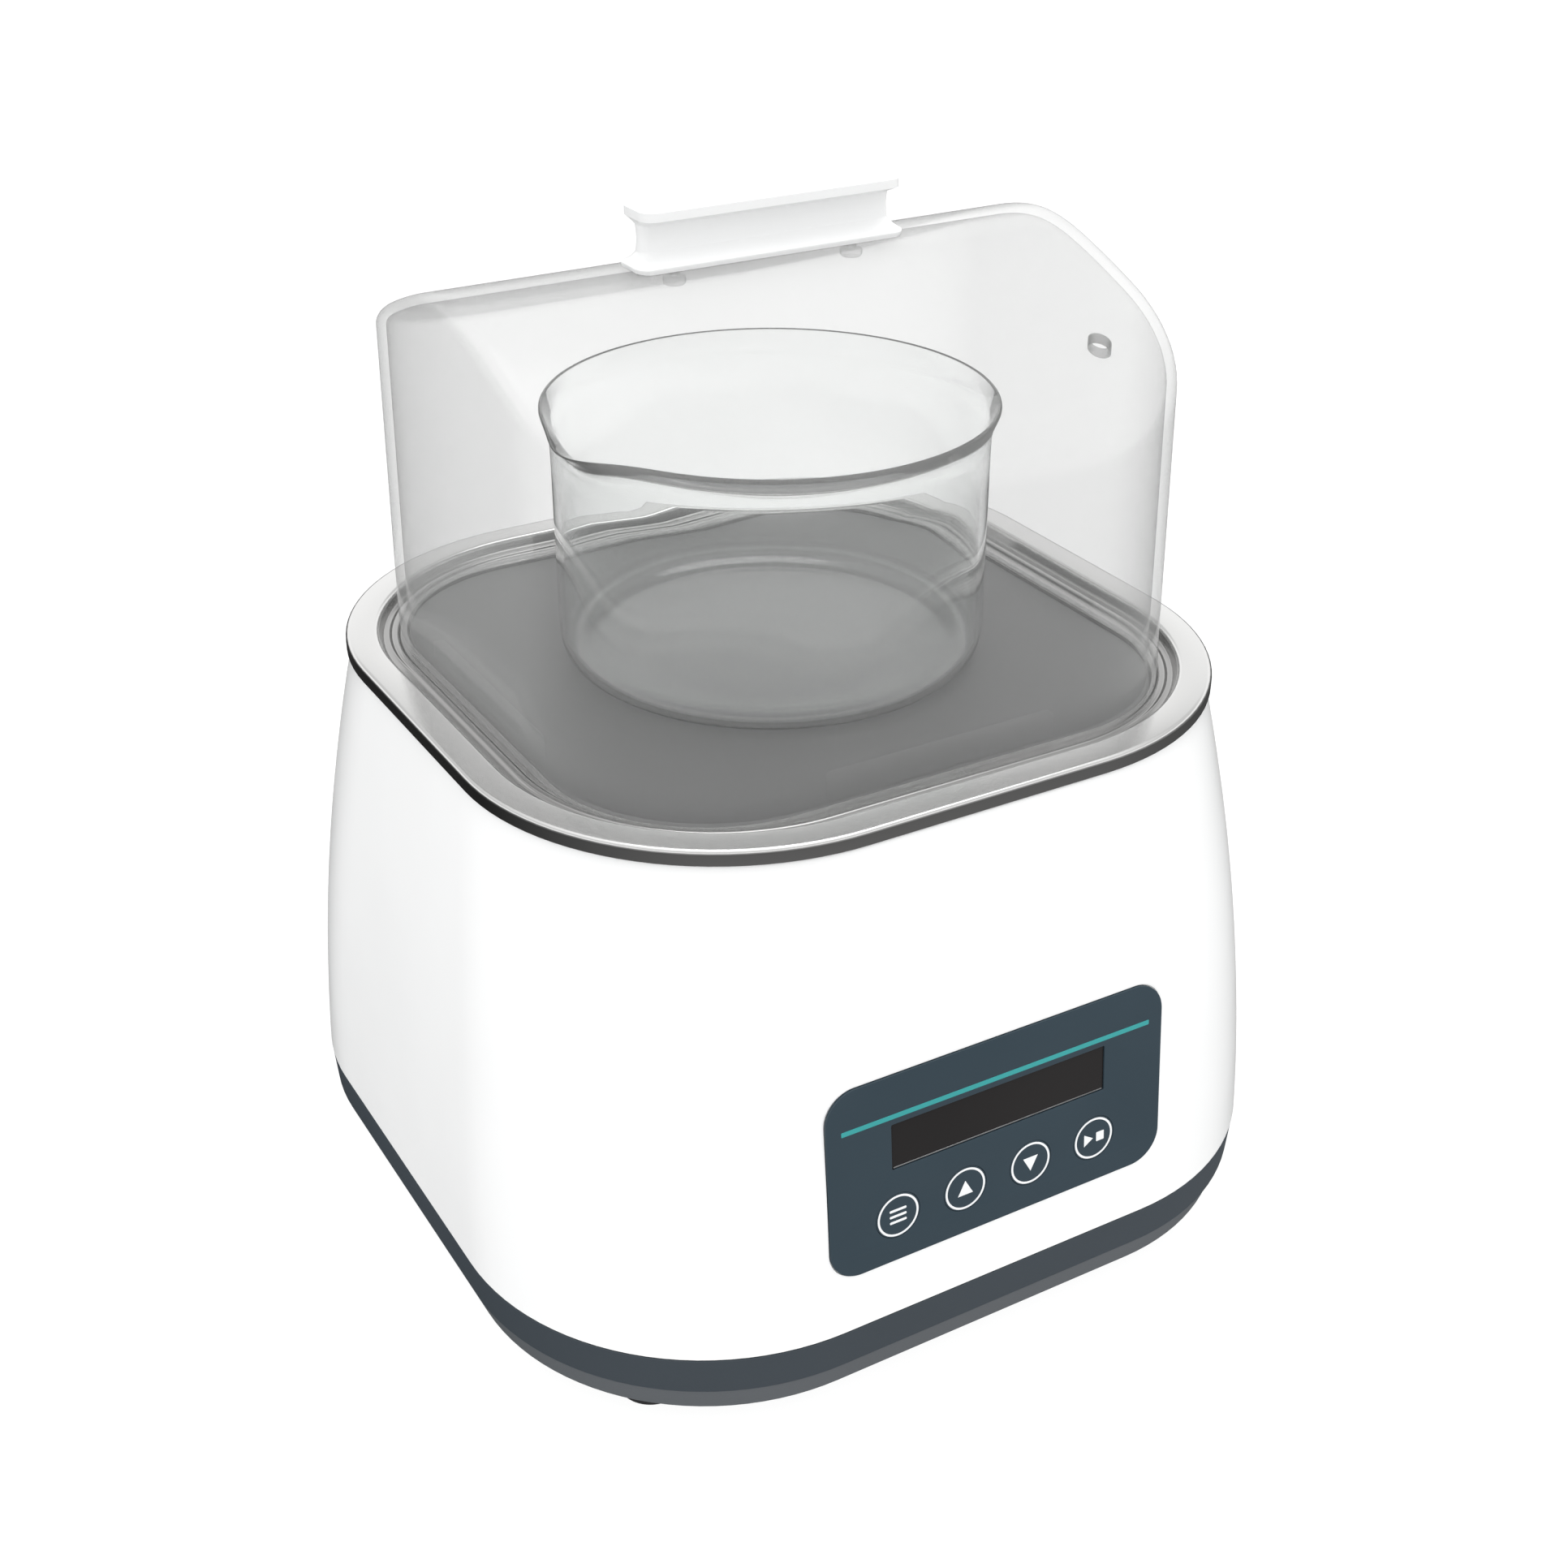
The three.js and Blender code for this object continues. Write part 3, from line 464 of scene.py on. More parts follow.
def plated(name, color, roughness):
    """Zinc plate: a faint crystal cloud."""
    look = Look(name, Metallic=1.0)
    spangle = look.noise(260, 2.0)
    look.mottle(spangle, color, 0.08)
    look.spread(spangle, "Roughness", roughness * 0.8, roughness * 1.25)
    look.bump(look.noise(2200), 0.006 * MM)
    return look.material


def see_through(name, color, roughness, clear, edge, power, **sockets):
    """Clear moulding: the alpha climbs from clear, seen square on, to edge at a grazing view."""
    look = Look(name, **sockets)
    look.mottle(look.noise(12), color, 0.02)
    look.spread(look.noise(40), "Roughness", roughness * 0.8, roughness * 1.2)
    graze = look.node("ShaderNodeLayerWeight")
    graze.inputs["Blend"].default_value = 0.5
    curve = look.node("ShaderNodeMath", operation="POWER")
    curve.inputs[1].default_value = power
    look.link(graze.outputs["Facing"], curve.inputs[0])
    look.spread(curve.outputs["Value"], "Alpha", clear, edge, 0.0, 1.0)
    return look.material


HOUSING = moulded("housing_white", (0.94, 0.945, 0.945), 0.24, 140, 0.006 * MM, 0.008,
                  Coat_Weight=0.15, Coat_Roughness=0.12)
# The lighter first colour, below the crease, is painted light from the bright floor.
SLATE = base_tiers_painted_light("base_slate", ((0.1, 0.11, 0.12), (0.042, 0.054, 0.066)), 0.42)
RUBBER = moulded("foot_rubber", (0.016, 0.016, 0.018), 0.8, 1500, 0.05 * MM, 0.15)
# The darker first colour is painted shade and painted dark reflection below the rim's top.
STEEL = steel("tank_steel", ((0.31, 0.308, 0.304), (0.6, 0.598, 0.592)), 0.18)
SILICONE = moulded("gasket_silicone", (0.05, 0.05, 0.055), 0.7, 1200, 0.03 * MM, 0.1)
FELT = moulded("insulation_felt", (0.62, 0.59, 0.5), 0.95, 700, 0.5 * MM, 0.15, Sheen_Weight=0.4)
HEATER = moulded("heater_silicone", (0.42, 0.07, 0.03), 0.75, 1100, 0.15 * MM, 0.1)
ZINC = plated("zinc_steel", (0.46, 0.47, 0.48), 0.38)
PLATE_GREY = moulded("plate_grey", (0.3, 0.31, 0.32), 0.5, 1800, 0.02 * MM, 0.02)
PANEL_LOOK = moulded("panel_slate", (0.03, 0.05, 0.066), 0.38, 3200, 0.006 * MM, 0.04,
                     Specular_IOR_Level=0.3)
TEAL = moulded("stripe_teal", (0.03, 0.33, 0.33), 0.35, 2000, 0.006 * MM, 0.03)
DISPLAY = moulded("display_black", (0.016, 0.0145, 0.0145), 0.14, 60, 0.004 * MM, 0.1,
                  Specular_IOR_Level=0.3)
PRINT = moulded("print_white", (0.85, 0.86, 0.87), 0.5, 2500, 0.006 * MM, 0.02)
BLACK = moulded("black_plastic", (0.016, 0.017, 0.019), 0.45, 1800, 0.03 * MM, 0.12)
BOARD = moulded("board_green", (0.016, 0.1, 0.045), 0.4, 900, 0.02 * MM, 0.12)
VARNISH = moulded("transformer_brown", (0.1, 0.07, 0.04), 0.4, 500, 0.08 * MM, 0.25)
RELAY = moulded("relay_blue", (0.015, 0.045, 0.2), 0.35, 1200, 0.02 * MM, 0.06)
TRAY = moulded("tray_grey", (0.122, 0.122, 0.123), 0.55, 2200, 0.015 * MM, 0.02, Specular_IOR_Level=0.25)
HOOD = see_through("hood_clear", (0.46, 0.465, 0.46), 0.1, 0.1, 0.48, 2.2)
VENT_EDGE = see_through("vent_edge", (0.2, 0.205, 0.2), 0.2, 0.3, 0.8, 1.5)
RIB = see_through("hood_rib", (0.5, 0.505, 0.5), 0.25, 0.015, 0.35, 4.0)
FROST = moulded("handle_frost", (0.88, 0.885, 0.885), 0.3, 150, 0.006 * MM, 0.008)


def clear_glass():
    look = Look("dish_glass", Transmission_Weight=1.0, IOR=1.47)
    look.mottle(look.noise(8), (0.96, 0.97, 0.965), 0.01)
    look.spread(look.noise(30), "Roughness", 0.0, 0.02)
    return look.material


GLASS = clear_glass()


# ---------------------------------------------------------------- housing and base
def joint(name):
    return next(j for j in frame["joints"] if j["name"] == name)


FRONT = face_frame("control_panel", -Vector(joint("menu_press")["axis"]), PANEL["thickness"])
REAR = face_frame("rear_plate", Vector(joint("fuse_slide")["axis"]), 1.5 * MM)


def housing():
    foot = 0.4 * MM
    top_half = 121.6 * MM
    lip_half = TRAY_HALF + GAP + SHEET + 1.2 * MM
    levels = np.linspace(SHELL_BOTTOM + foot, SHELL_TOP - 2 * MM, 34)
    inner_radius = SHELL_RADIUS - SHELL_WALL
    corners = [(shell_half(SHELL_BOTTOM) - foot, SHELL_BOTTOM, SHELL_RADIUS - foot, 0)]
    corners += [(shell_half(z), z, SHELL_RADIUS, 0) for z in levels]
    corners += [
        (top_half + 0.5 * MM, SHELL_TOP, SHELL_RADIUS - foot, 1.2 * MM),
        (lip_half, SHELL_TOP, lip_half - TRAY_CENTRE, 0.5 * MM),
        (lip_half, SHELL_TOP - SHELL_WALL, lip_half - TRAY_CENTRE, 0.5 * MM),
        (shell_half(SHELL_TOP) - SHELL_WALL, SHELL_TOP - SHELL_WALL, inner_radius, 1.5 * MM),
    ]
    corners += [(shell_half(z) - SHELL_WALL, z, inner_radius, 0) for z in levels[-2::-4]]
    corners.append((shell_half(SHELL_BOTTOM) - SHELL_WALL, SHELL_BOTTOM, inner_radius, 0))
    shell = square_loft("housing", rounded(corners), closed=True)
    post_low, post_high, web, wall = 40 * MM, 60 * MM, 1.5 * MM, 134 * MM
    board, panel_back = 11.3 * MM, -2.4 * MM
    deep, through = -9 * MM, 4 * MM         # from behind the shell's wall to in front of it
    add, cut = [], []
    for sx, sy in CORNERS.values():
        x, y = sx * CASE_SCREW[0], sy * CASE_SCREW[1]
        add.append(rod(POST_RADIUS, post_low, post_high, (x, y)))
        low_y, high_y = sorted((y, sy * wall))
        add.append(block("web", (x - web, low_y, post_low), (x + web, high_y, post_high)))
        cut.append(rod(SCREW_HOLE, post_low - 1 * MM, post_high - 4 * MM, (x, y)))
        stand = (sx * 50 * MM, sy * 20 * MM)
        add.append(placed(rod(3.5 * MM, GAP - board, panel_back, stand), FRONT))
    play, lens_seat = 0.5 * MM, 1.2 * MM
    pocket = rounded_outline(PANEL["width"] + play, PANEL["height"] + play, PANEL["radius"])
    cut.append(placed(plate("pocket", [pocket], -PANEL["thickness"] - GAP, 6 * MM, 0.01 * MM), FRONT))
    half_x, half_y = WINDOW["width"] / 2 - lens_seat, WINDOW["height"] / 2 - lens_seat
    cut.append(placed(block("window", (-half_x, WINDOW["y"] - half_y, deep),
                            (half_x, WINDOW["y"] + half_y, 3 * MM)), FRONT))
    for node in KEYS:
        spot = local_centre(node, FRONT)
        cut.append(placed(rod(KEY_RADIUS + GAP, deep, through, (spot.x, spot.y)), FRONT))
    rear_low, rear_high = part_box("rear_plate")
    opening = rounded_outline(rear_high.x - rear_low.x - 8 * MM, 56 * MM, 4 * MM)
    cut.append(placed(plate("opening", [opening], -5 * MM, 10 * MM, 0.01 * MM), REAR))
    finish_piece(carve(shell, add, cut), HOUSING, "housing_white", "base_unit", "outer_shell")


def local_centre(node, matrix):
    """Middle of a CAD node in the frame of a face."""
    low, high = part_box(node)
    return matrix.inverted() @ ((low + high) / 2)


def base():
    floor_top = BASE_BOTTOM + 3.2 * MM
    base_half, tier_half, step_half = 134.6 * MM, 137.1 * MM, 138.2 * MM
    flange_half, flange = 135.3 * MM, 2.2 * MM

    def corner(half):
        return min(SHELL_RADIUS, half - 54.8 * MM)

    rows = [
        (base_half - 1.2 * MM, BASE_BOTTOM, 0.3 * MM),
        (base_half, BASE_BOTTOM + 0.6 * MM, 1.2 * MM),
        (tier_half, TIER_HEIGHT, 0.35 * MM),
        (step_half, TIER_HEIGHT + 0.8 * MM, 0.5 * MM),
        (SHELL_HALF - 0.1 * MM, SHELL_BOTTOM - GAP, 0.5 * MM),
        (flange_half, SHELL_BOTTOM - GAP, 0.3 * MM),
        (flange_half, BASE_TOP, 0.4 * MM),
        (flange_half - flange, BASE_TOP, 0.4 * MM),
        (flange_half - flange, floor_top, 1.5 * MM),
        (100 * MM, floor_top, 0),
    ]
    profile = rounded([(half, z, corner(half), reach) for half, z, reach in rows])
    pan = square_loft("base", profile, BASE_BOTTOM, floor_top)
    add, cut = [], []
    for name, (sx, sy) in CORNERS.items():
        x, y = sx * CASE_SCREW[0], sy * CASE_SCREW[1]
        foot = middle(f"foot_{name}")
        stud = (sx * 52 * MM, 60 * MM + sy * 34 * MM)
        root, below = floor_top - 1 * MM, BASE_BOTTOM - 1 * MM
        add.append(rod(POST_RADIUS, root, 39.7 * MM, (x, y)))
        add.append(rod(5 * MM, root, 24 * MM, foot))
        add.append(rod(4 * MM, root, 18 * MM, stud))
        cut.append(rod(SCREW_HOLE, below, 41 * MM, (x, y)))
        cut.append(rod(4.2 * MM, below, 9.6 * MM, (x, y)))
        cut.append(rod(SCREW_HOLE, below, 22 * MM, foot))
    finish_piece(carve(pan, add, cut), SLATE, "base_slate", "base_unit", "base_pan")


def middle(node):
    low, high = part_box(node)
    return ((low.x + high.x) / 2, (low.y + high.y) / 2)


def feet():
    for name in CORNERS:
        node = f"foot_{name}"
        low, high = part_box(node)
        outer, bore, hole = (high.x - low.x) / 2, 5.2 * MM, 2.3 * MM
        seat = 3.5 * MM
        profile = rounded([
            (hole, seat, 0), (bore, seat, 0.3 * MM), (bore, low.z, 0.4 * MM),
            (outer - 0.5 * MM, low.z, 1 * MM), (outer, high.z - 2 * MM, 1 * MM),
            (outer - 0.3 * MM, high.z, 0.6 * MM), (hole, high.z, 0),
        ])
        foot = turned_ring(f"rubber_{node}", profile, 72, middle(node))
        finish_piece(foot, RUBBER, "foot_rubber", "base_unit", node)


# ---------------------------------------------------------------- tank, tray and dish
def tank():
    step = TRAY_HALF + GAP
    under = TANK_FLOOR - SHEET
    outside = TANK_HALF + SHEET
    bead_top = LEDGE + 0.9 * MM
    ledge_out, wall_out = 111.2 * MM, 113 * MM
    round_corner, tray_corner, bead_corner = CORNER_CENTRE, TRAY_CENTRE, BEAD_CENTRE
    rows = [
        (60 * MM, TANK_FLOOR, round_corner, 0),
        (TANK_HALF, TANK_FLOOR, round_corner, 12 * MM),
        (TANK_HALF, TRAY_LEDGE, round_corner, 1 * MM),
        (step, TRAY_LEDGE, tray_corner, 0.5 * MM),
        (step, LEDGE, tray_corner, 0.8 * MM),
        (105.2 * MM, LEDGE, bead_corner, 0.7 * MM),
        (106 * MM, bead_top, bead_corner, 0.7 * MM),
        (107.8 * MM, bead_top, bead_corner, 0.7 * MM),
        (108.6 * MM, LEDGE, bead_corner, 0.7 * MM),
        (ledge_out, LEDGE, round_corner, 0.7 * MM),
        (wall_out, RIM_TOP, round_corner, 0.9 * MM),
        (RIM_HALF, RIM_TOP, round_corner, 1.6 * MM),
        (RIM_HALF, SHELL_TOP + GAP, round_corner, 0.4 * MM),
        (RIM_HALF - SHEET, SHELL_TOP + GAP, round_corner, 0.4 * MM),
        (RIM_HALF - SHEET, RIM_TOP - SHEET, round_corner, 0.6 * MM),
        (wall_out + 0.6 * MM, RIM_TOP - SHEET, round_corner, 0.6 * MM),
        (ledge_out + SHEET, LEDGE - SHEET, round_corner, 0.6 * MM),
        (step + SHEET, LEDGE - SHEET, tray_corner, 0.6 * MM),
        (step + SHEET, TRAY_LEDGE - SHEET, tray_corner, 0.6 * MM),
        (outside, TRAY_LEDGE - SHEET, round_corner, 0.6 * MM),
        (outside, under, round_corner, 12.6 * MM),
        (60 * MM, under, round_corner, 0),
    ]
    profile = rounded([(half, z, max(half - centre, 0), reach) for half, z, centre, reach in rows], 8)
    sheet = square_loft("tank_sheet", profile, TANK_FLOOR, under)
    finish_piece(sheet, STEEL, "tank_steel", "base_unit", "tank")
    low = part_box("tank")[0].z
    stud = turned("heater_stud", rounded([(2.4 * MM, low, 0), (3 * MM, low + 0.8 * MM, 0.3 * MM),
                                          (3 * MM, under - 0.05 * MM, 0)]), 32)
    finish_piece(stud, STEEL, "tank_steel", "base_unit")


def tray():
    thickness = 1.5 * MM
    turn_down = TRAY_HALF - 1.4 * MM
    rows = [
        (60 * MM, TRAY_TOP, 0),
        (TRAY_HALF, TRAY_TOP, 1.4 * MM),
        (TRAY_HALF, TRAY_UNDER, 0.3 * MM),
        (turn_down, TRAY_UNDER, 0.3 * MM),
        (turn_down, TRAY_TOP - thickness, 0.5 * MM),
        (60 * MM, TRAY_TOP - thickness, 0),
    ]
    profile = rounded([(half, z, half - TRAY_CENTRE, reach) for half, z, reach in rows])
    piece = square_loft("tray_sheet", profile, TRAY_TOP, TRAY_TOP - thickness)
    finish_piece(piece, TRAY, "tray_grey", "tray", "support_tray")


def spout(x, y, z):
    """The pouring lip: the rim is drawn outward and down over a short arc."""
    spout_angle, spout_width = math.radians(188), math.radians(13)
    reach, depth, droop = 6 * MM, 14 * MM, 0.3
    radius = math.hypot(x, y)
    off = math.remainder(math.atan2(y, x) - spout_angle, 2 * math.pi)
    rise = min(max((z - DISH_RIM + depth) / depth, 0), 1)
    pull = reach * rise * rise * math.exp(-((off / spout_width) ** 2))
    return x * (radius + pull) / radius, y * (radius + pull) / radius, z - droop * pull * rise


def dish():
    wall, inner = DISH_RIM_RADIUS - 3 * MM, DISH_RIM_RADIUS - 5 * MM
    fillet = 11 * MM
    glass = 2 * MM
    rows = [
        (40 * MM, DISH_FLOOR, 0),
        (wall, DISH_FLOOR, fillet),
        (wall, DISH_RIM - 20 * MM, 4 * MM),
        (wall + 0.2 * MM, DISH_RIM - 8 * MM, 5 * MM),
        (DISH_RIM_RADIUS, DISH_RIM - 1.2 * MM, 1 * MM),
        (DISH_RIM_RADIUS - 0.9 * MM, DISH_RIM, 0.7 * MM),
        (inner + 0.2 * MM, DISH_RIM - 6.2 * MM, 4 * MM),
        (inner, DISH_RIM - 14 * MM, 4 * MM),
        (inner, DISH_FLOOR + glass, fillet - glass),
        (40 * MM, DISH_FLOOR + glass, 0),
    ]
    profile = rounded(rows, 10)
    rings = [[spout(*point) for point in circle(radius, z, 160)] for radius, z in profile]
    piece = mesh_object("dish_body", *loft(rings, (0, 0, DISH_FLOOR), (0, 0, DISH_FLOOR + glass)))
    finish_piece(piece, GLASS, "dish_glass", "dish", "glass_dish", sharp=math.radians(60))


# ---------------------------------------------------------------- hood
def hood_row(half, z, centre=HOOD_CENTRE):
    return plan(half, half, max(half - centre, 2 * MM), z, 2 * SIDE_STEPS)


def roof_row(half, drop):
    return hood_row(half, lambda x, y: vault(x, y) - drop)


def hood_skin(top_half, wall_half, fillet, drop, foot):
    """Rings from the middle of the roof to the foot. foot holds (half width, height, corner centre)."""
    step = 3 * MM
    flat = top_half - fillet
    rings = [roof_row(half, drop) for half in np.arange(step, flat - 0.5 * MM, step)]
    for angle in np.linspace(0, math.pi / 2, 9):
        rings.append(roof_row(flat + fillet * math.sin(angle), drop + fillet * (1 - math.cos(angle))))
    start = roof_row(top_half, drop + fillet)
    end = hood_row(wall_half, foot[0][1])
    for share in (0.02, 0.2, 0.4, 0.6, 0.8, 0.97):
        rings.append([tuple(np.array(a) * (1 - share) + np.array(b) * share) for a, b in zip(start, end)])
    return rings + [hood_row(*row) for row in foot]


def vent_edge():
    """Thin sleeve that lines the vent hole, between the two skins of the roof."""
    outer, inner = VENT[2] - 0.05 * MM, VENT[2] - 0.4 * MM
    top, bottom = 0.1 * MM, HOOD_WALL - 0.1 * MM
    rings = [[(x, y, vault(x, y) - drop) for x, y in ring_outline(radius, VENT[:2], 48)]
             for radius, drop in ((outer, top), (outer, bottom), (inner, bottom), (inner, top))]
    finish_piece(mesh_object("vent_sleeve", *loft(rings, closed=True)), VENT_EDGE, "hood_clear", "hood")


def hood():
    flare = 201 * MM

    def wall(half, bend, bend_z):
        """The wall's lower end, which draws in a little towards the foot."""
        return [tuple(p) for p in rounded([
            (half, flare, HOOD_CENTRE, 0), (half - bend, bend_z, HOOD_CENTRE + 2 * MM, 5 * MM),
            (half - 2 * MM, HOOD_FOOT, HOOD_FOOT_CENTRE, 0)])]

    outer = wall(HOOD_HALF, 0.4 * MM, 194 * MM)
    inner = wall(HOOD_HALF - HOOD_WALL, 0.5 * MM, 195 * MM)
    top_inner = HOOD_TOP_HALF - HOOD_WALL
    rings = hood_skin(HOOD_TOP_HALF, HOOD_HALF, HOOD_FILLET, 0, outer)
    inside = hood_skin(top_inner, HOOD_HALF - HOOD_WALL, 2.4 * MM, HOOD_WALL + 0.2 * MM, inner)
    vertices, faces, lengths = loft(rings + inside[::-1], (0, 0, vault(0, 0)),
                                    (0, 0, vault(0, 0) - HOOD_WALL - 0.2 * MM))
    shell = mesh_object("hood_body", vertices, faces, lengths)
    screws = [middle("handle_screw_1"), middle("handle_screw_2")]
    cut = [rod(VENT[2], HOOD_CREST - 45 * MM, HOOD_CREST, VENT[:2], 56)]
    cut += [rod(1.6 * MM, HOOD_CREST - 12 * MM, HOOD_CREST + 9 * MM, spot, 32) for spot in screws]
    finish_piece(carve(shell, cut=cut), HOOD, "hood_clear", "hood", "hood_shell")
    vent_edge()
    width = HOOD_RIB["outer"] - HOOD_RIB["inner"]
    outline = rounded_outline(width, 2 * HOOD_RIB["half"], 0.8 * MM, (HOOD_RIB["inner"] + width / 2, 0))
    for turn in range(4):
        rib = plate(f"hood_rib_{turn + 1}", [outline], HOOD_FOOT, HOOD_FOOT + HOOD_RIB["height"], 0.5 * MM)
        placed(rib, Matrix.Rotation(turn * math.pi / 2, 4, "Z"))
        finish_piece(rib, RIB, "hood_clear", "hood")


def handle():
    """Spool-shaped grip: two flanges and a thin web with hollow ends."""
    top = HANDLE_TOP - HOOD_CREST
    profile = rounded([
        (44.6, 7.4, 0.0, 0.3), (45.0, 7.8, 1.4, 0.5), (43.6, 6.0, 2.4, 1.2), (41.7, 3.0, 5.0, 2.5),
        (41.4, 2.6, 9.0, 2.0), (41.7, 3.2, 12.6, 1.0), (42.4, 6.8, 13.9, 0.8), (43.0, 8.2, 14.6, 0.4),
        (43.0, 8.2, top / MM, 0.6), (40.0, 5.0, top / MM, 0.0),
    ])
    rings = []
    for half_x, half_y, height in profile:
        seat = max(0, 1 - height / 2.7)

        def level(x, y, height=height, seat=seat):
            drop = HOOD_CREST - vault(x, y + VAULT_Y)
            return HOOD_CREST + GAP * seat + height * MM - drop * seat

        radius = min(half_y * 0.9, 4.2)
        rings.append(plan(half_x * MM, half_y * MM, radius * MM, level))
    lowest = (0, 0, HOOD_CREST + GAP)
    piece = mesh_object("handle_grip", *loft(rings, lowest, (0, 0, HANDLE_TOP)))
    placed(piece, Matrix.Translation((0, VAULT_Y, 0)))
    cut = [rod(1.5 * MM, HOOD_CREST - 6 * MM, HOOD_CREST + 10 * MM, middle(f"handle_screw_{i}"), 32)
           for i in (1, 2)]
    finish_piece(carve(piece, cut=cut), FROST, "handle_frost", "hood", "hood_handle")


# ---------------------------------------------------------------- control panel
def panel():
    margin = 0.15 * MM
    window = rounded_outline(WINDOW["width"] + margin, WINDOW["height"] + margin, 0.5 * MM,
                             (0, WINDOW["y"]), 4)
    holes = [window]
    for node in KEYS:
        spot = local_centre(node, FRONT)
        holes.append(ring_outline(KEY_RADIUS + 0.1 * MM, (spot.x, spot.y)))
    edge = rounded_outline(PANEL["width"], PANEL["height"], PANEL["radius"], steps=20)
    overlay = plate("panel_overlay", [edge, *holes], -PANEL["thickness"], 0, 0.12 * MM)
    finish_piece(placed(overlay, FRONT), PANEL_LOOK, "panel_slate", "base_unit", "control_panel")
    stripe_low, stripe_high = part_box("panel_stripe")
    spot = local_centre("panel_stripe", FRONT)
    outline = rounded_outline(stripe_high.x - stripe_low.x, 1.6 * MM, 0.3 * MM, (0, spot.y), 4)
    stripe = plate("printed_stripe", [outline], -0.1 * MM, 0.06 * MM, 0.03 * MM)
    finish_piece(placed(stripe, FRONT), TEAL, "stripe_teal", "base_unit", "panel_stripe")
    outline = rounded_outline(WINDOW["width"], WINDOW["height"], 0.4 * MM, (0, WINDOW["y"]), 4)
    lens = plate("window_lens", [outline], -0.95 * MM, -0.45 * MM, 0.08 * MM)
    finish_piece(placed(lens, FRONT), DISPLAY, "display_black", "base_unit", "display_window")
    # Painted highlight: a bright zinc strip along the window's lower edge stands in for the light caught by
    # the bevel there.
    low_edge = WINDOW["y"] - WINDOW["height"] / 2
    outline = rounded_outline(WINDOW["width"] - 1 * MM, 0.35 * MM, 0.1 * MM, (0, low_edge + 0.45 * MM), 3)
    line = plate("window_painted_highlight", [outline], -0.5 * MM, -0.25 * MM, 0.05 * MM)
    finish_piece(placed(line, FRONT), ZINC, "zinc_steel", "base_unit")


def icon(node):
    """Outlines of a key's symbol, round the key's middle."""
    unit = 1.12 * MM
    if node == "key_menu":
        return [rounded_outline(5.2 * unit, 0.75 * unit, 0.3 * unit, (0, y * unit), 4)
                for y in (-1.8, 0, 1.8)]
    if node == "key_start_stop":
        play = [(-3.2 * unit, -1.9 * unit), (-0.2 * unit, 0), (-3.2 * unit, 1.9 * unit)]
        return [play, rounded_outline(2.6 * unit, 2.9 * unit, 0.2 * unit, (2.2 * unit, 0), 4)]
    point = 1 if node == "key_up" else -1
    base_y = -1.9 * point * unit
    return [[(-2.4 * unit, base_y), (2.4 * unit, base_y), (0, 2.5 * point * unit)]]


def keys():
    for node, body in KEYS.items():
        spot = local_centre(node, FRONT)
        at = FRONT @ Matrix.Translation((spot.x, spot.y, 0))
        cap = turned(f"cap_{node}", rounded([
            (3 * MM, 0, 0), (KEY_RADIUS, 0, 0.25 * MM), (KEY_RADIUS, -4.4 * MM, 0.3 * MM),
            (KEY_FLANGE, -4.4 * MM, 0.2 * MM), (KEY_FLANGE, -5.2 * MM, 0.2 * MM),
            (2.5 * MM, -5.2 * MM, 0.2 * MM), (2.5 * MM, -6.1 * MM, 0.2 * MM), (1 * MM, -6.1 * MM, 0)]), 96)
        finish_piece(placed(cap, at), PANEL_LOOK, "panel_slate", body, node)
        circles = [ring_outline(KEY_RING), ring_outline(KEY_RING - 0.7 * MM)]
        ring = plate(f"ring_{node}", circles, PRINT_LOW, PRINT_HIGH, PRINT_EDGE)
        finish_piece(placed(ring, at), PRINT, "housing_white", body)
        symbol = plate(f"symbol_{node}", icon(node), PRINT_LOW, PRINT_HIGH, PRINT_EDGE)
        finish_piece(placed(symbol, at), PRINT, "housing_white", body)


# ---------------------------------------------------------------- nodes that stay as they are
NODE_LOOKS = {
    "foot_screw": (ZINC, 0.3), "case_screw": (ZINC, 0.3), "bracket_screw": (ZINC, 0.2),
    "handle_screw": (HOOD, 0.2), "tank_bracket": (ZINC, 0.3), "rim_gasket": (SILICONE, 0.3),
    "tank_insulation": (FELT, 1.0), "heater_pad": (HEATER, 0.5), "heater_clamp_plate": (ZINC, 0.3),
    "heater_nut": (ZINC, 0.3), "thermal_cutout": (BLACK, 0.4), "temperature_probe": (ZINC, 0.4),
    "display_module": (BLACK, 0.4), "tact_switch": (BLACK, 0.3), "control_board": (BOARD, 0.1),
    "power_board": (BOARD, 0.1), "transformer": (VARNISH, 0.6), "heater_relay": (RELAY, 0.5),
    "filter_capacitor": (BLACK, 0.6), "rear_plate": (PLATE_GREY, 0.3), "mains_inlet": (BLACK, 0.35),
    "fuse_drawer": (BLACK, 0.25), "fuse": (ZINC, 0.3), "rocker_frame": (BLACK, 0.35),
    "rocker_switch": (BLACK, 0.4),
}


def carried_nodes():
    """Finishes and softened edges for the CAD nodes that show as they are."""
    for name, node in frame["nodes"].items():
        if node.hide_render:
            continue
        family = name if name in NODE_LOOKS else next(f for f in NODE_LOOKS if name.startswith(f))
        material, edge = NODE_LOOKS[family]
        node.data.materials.clear()
        node.data.materials.append(material)
        weld = node.modifiers.new("weld", "WELD")
        weld.merge_threshold = 0.001 * MM
        soften = node.modifiers.new("soften", "BEVEL")
        soften.width = edge * MM
        soften.segments = 3
        soften.limit_method = "ANGLE"
        soften.angle_limit = math.radians(40)
        soften.harden_normals = False


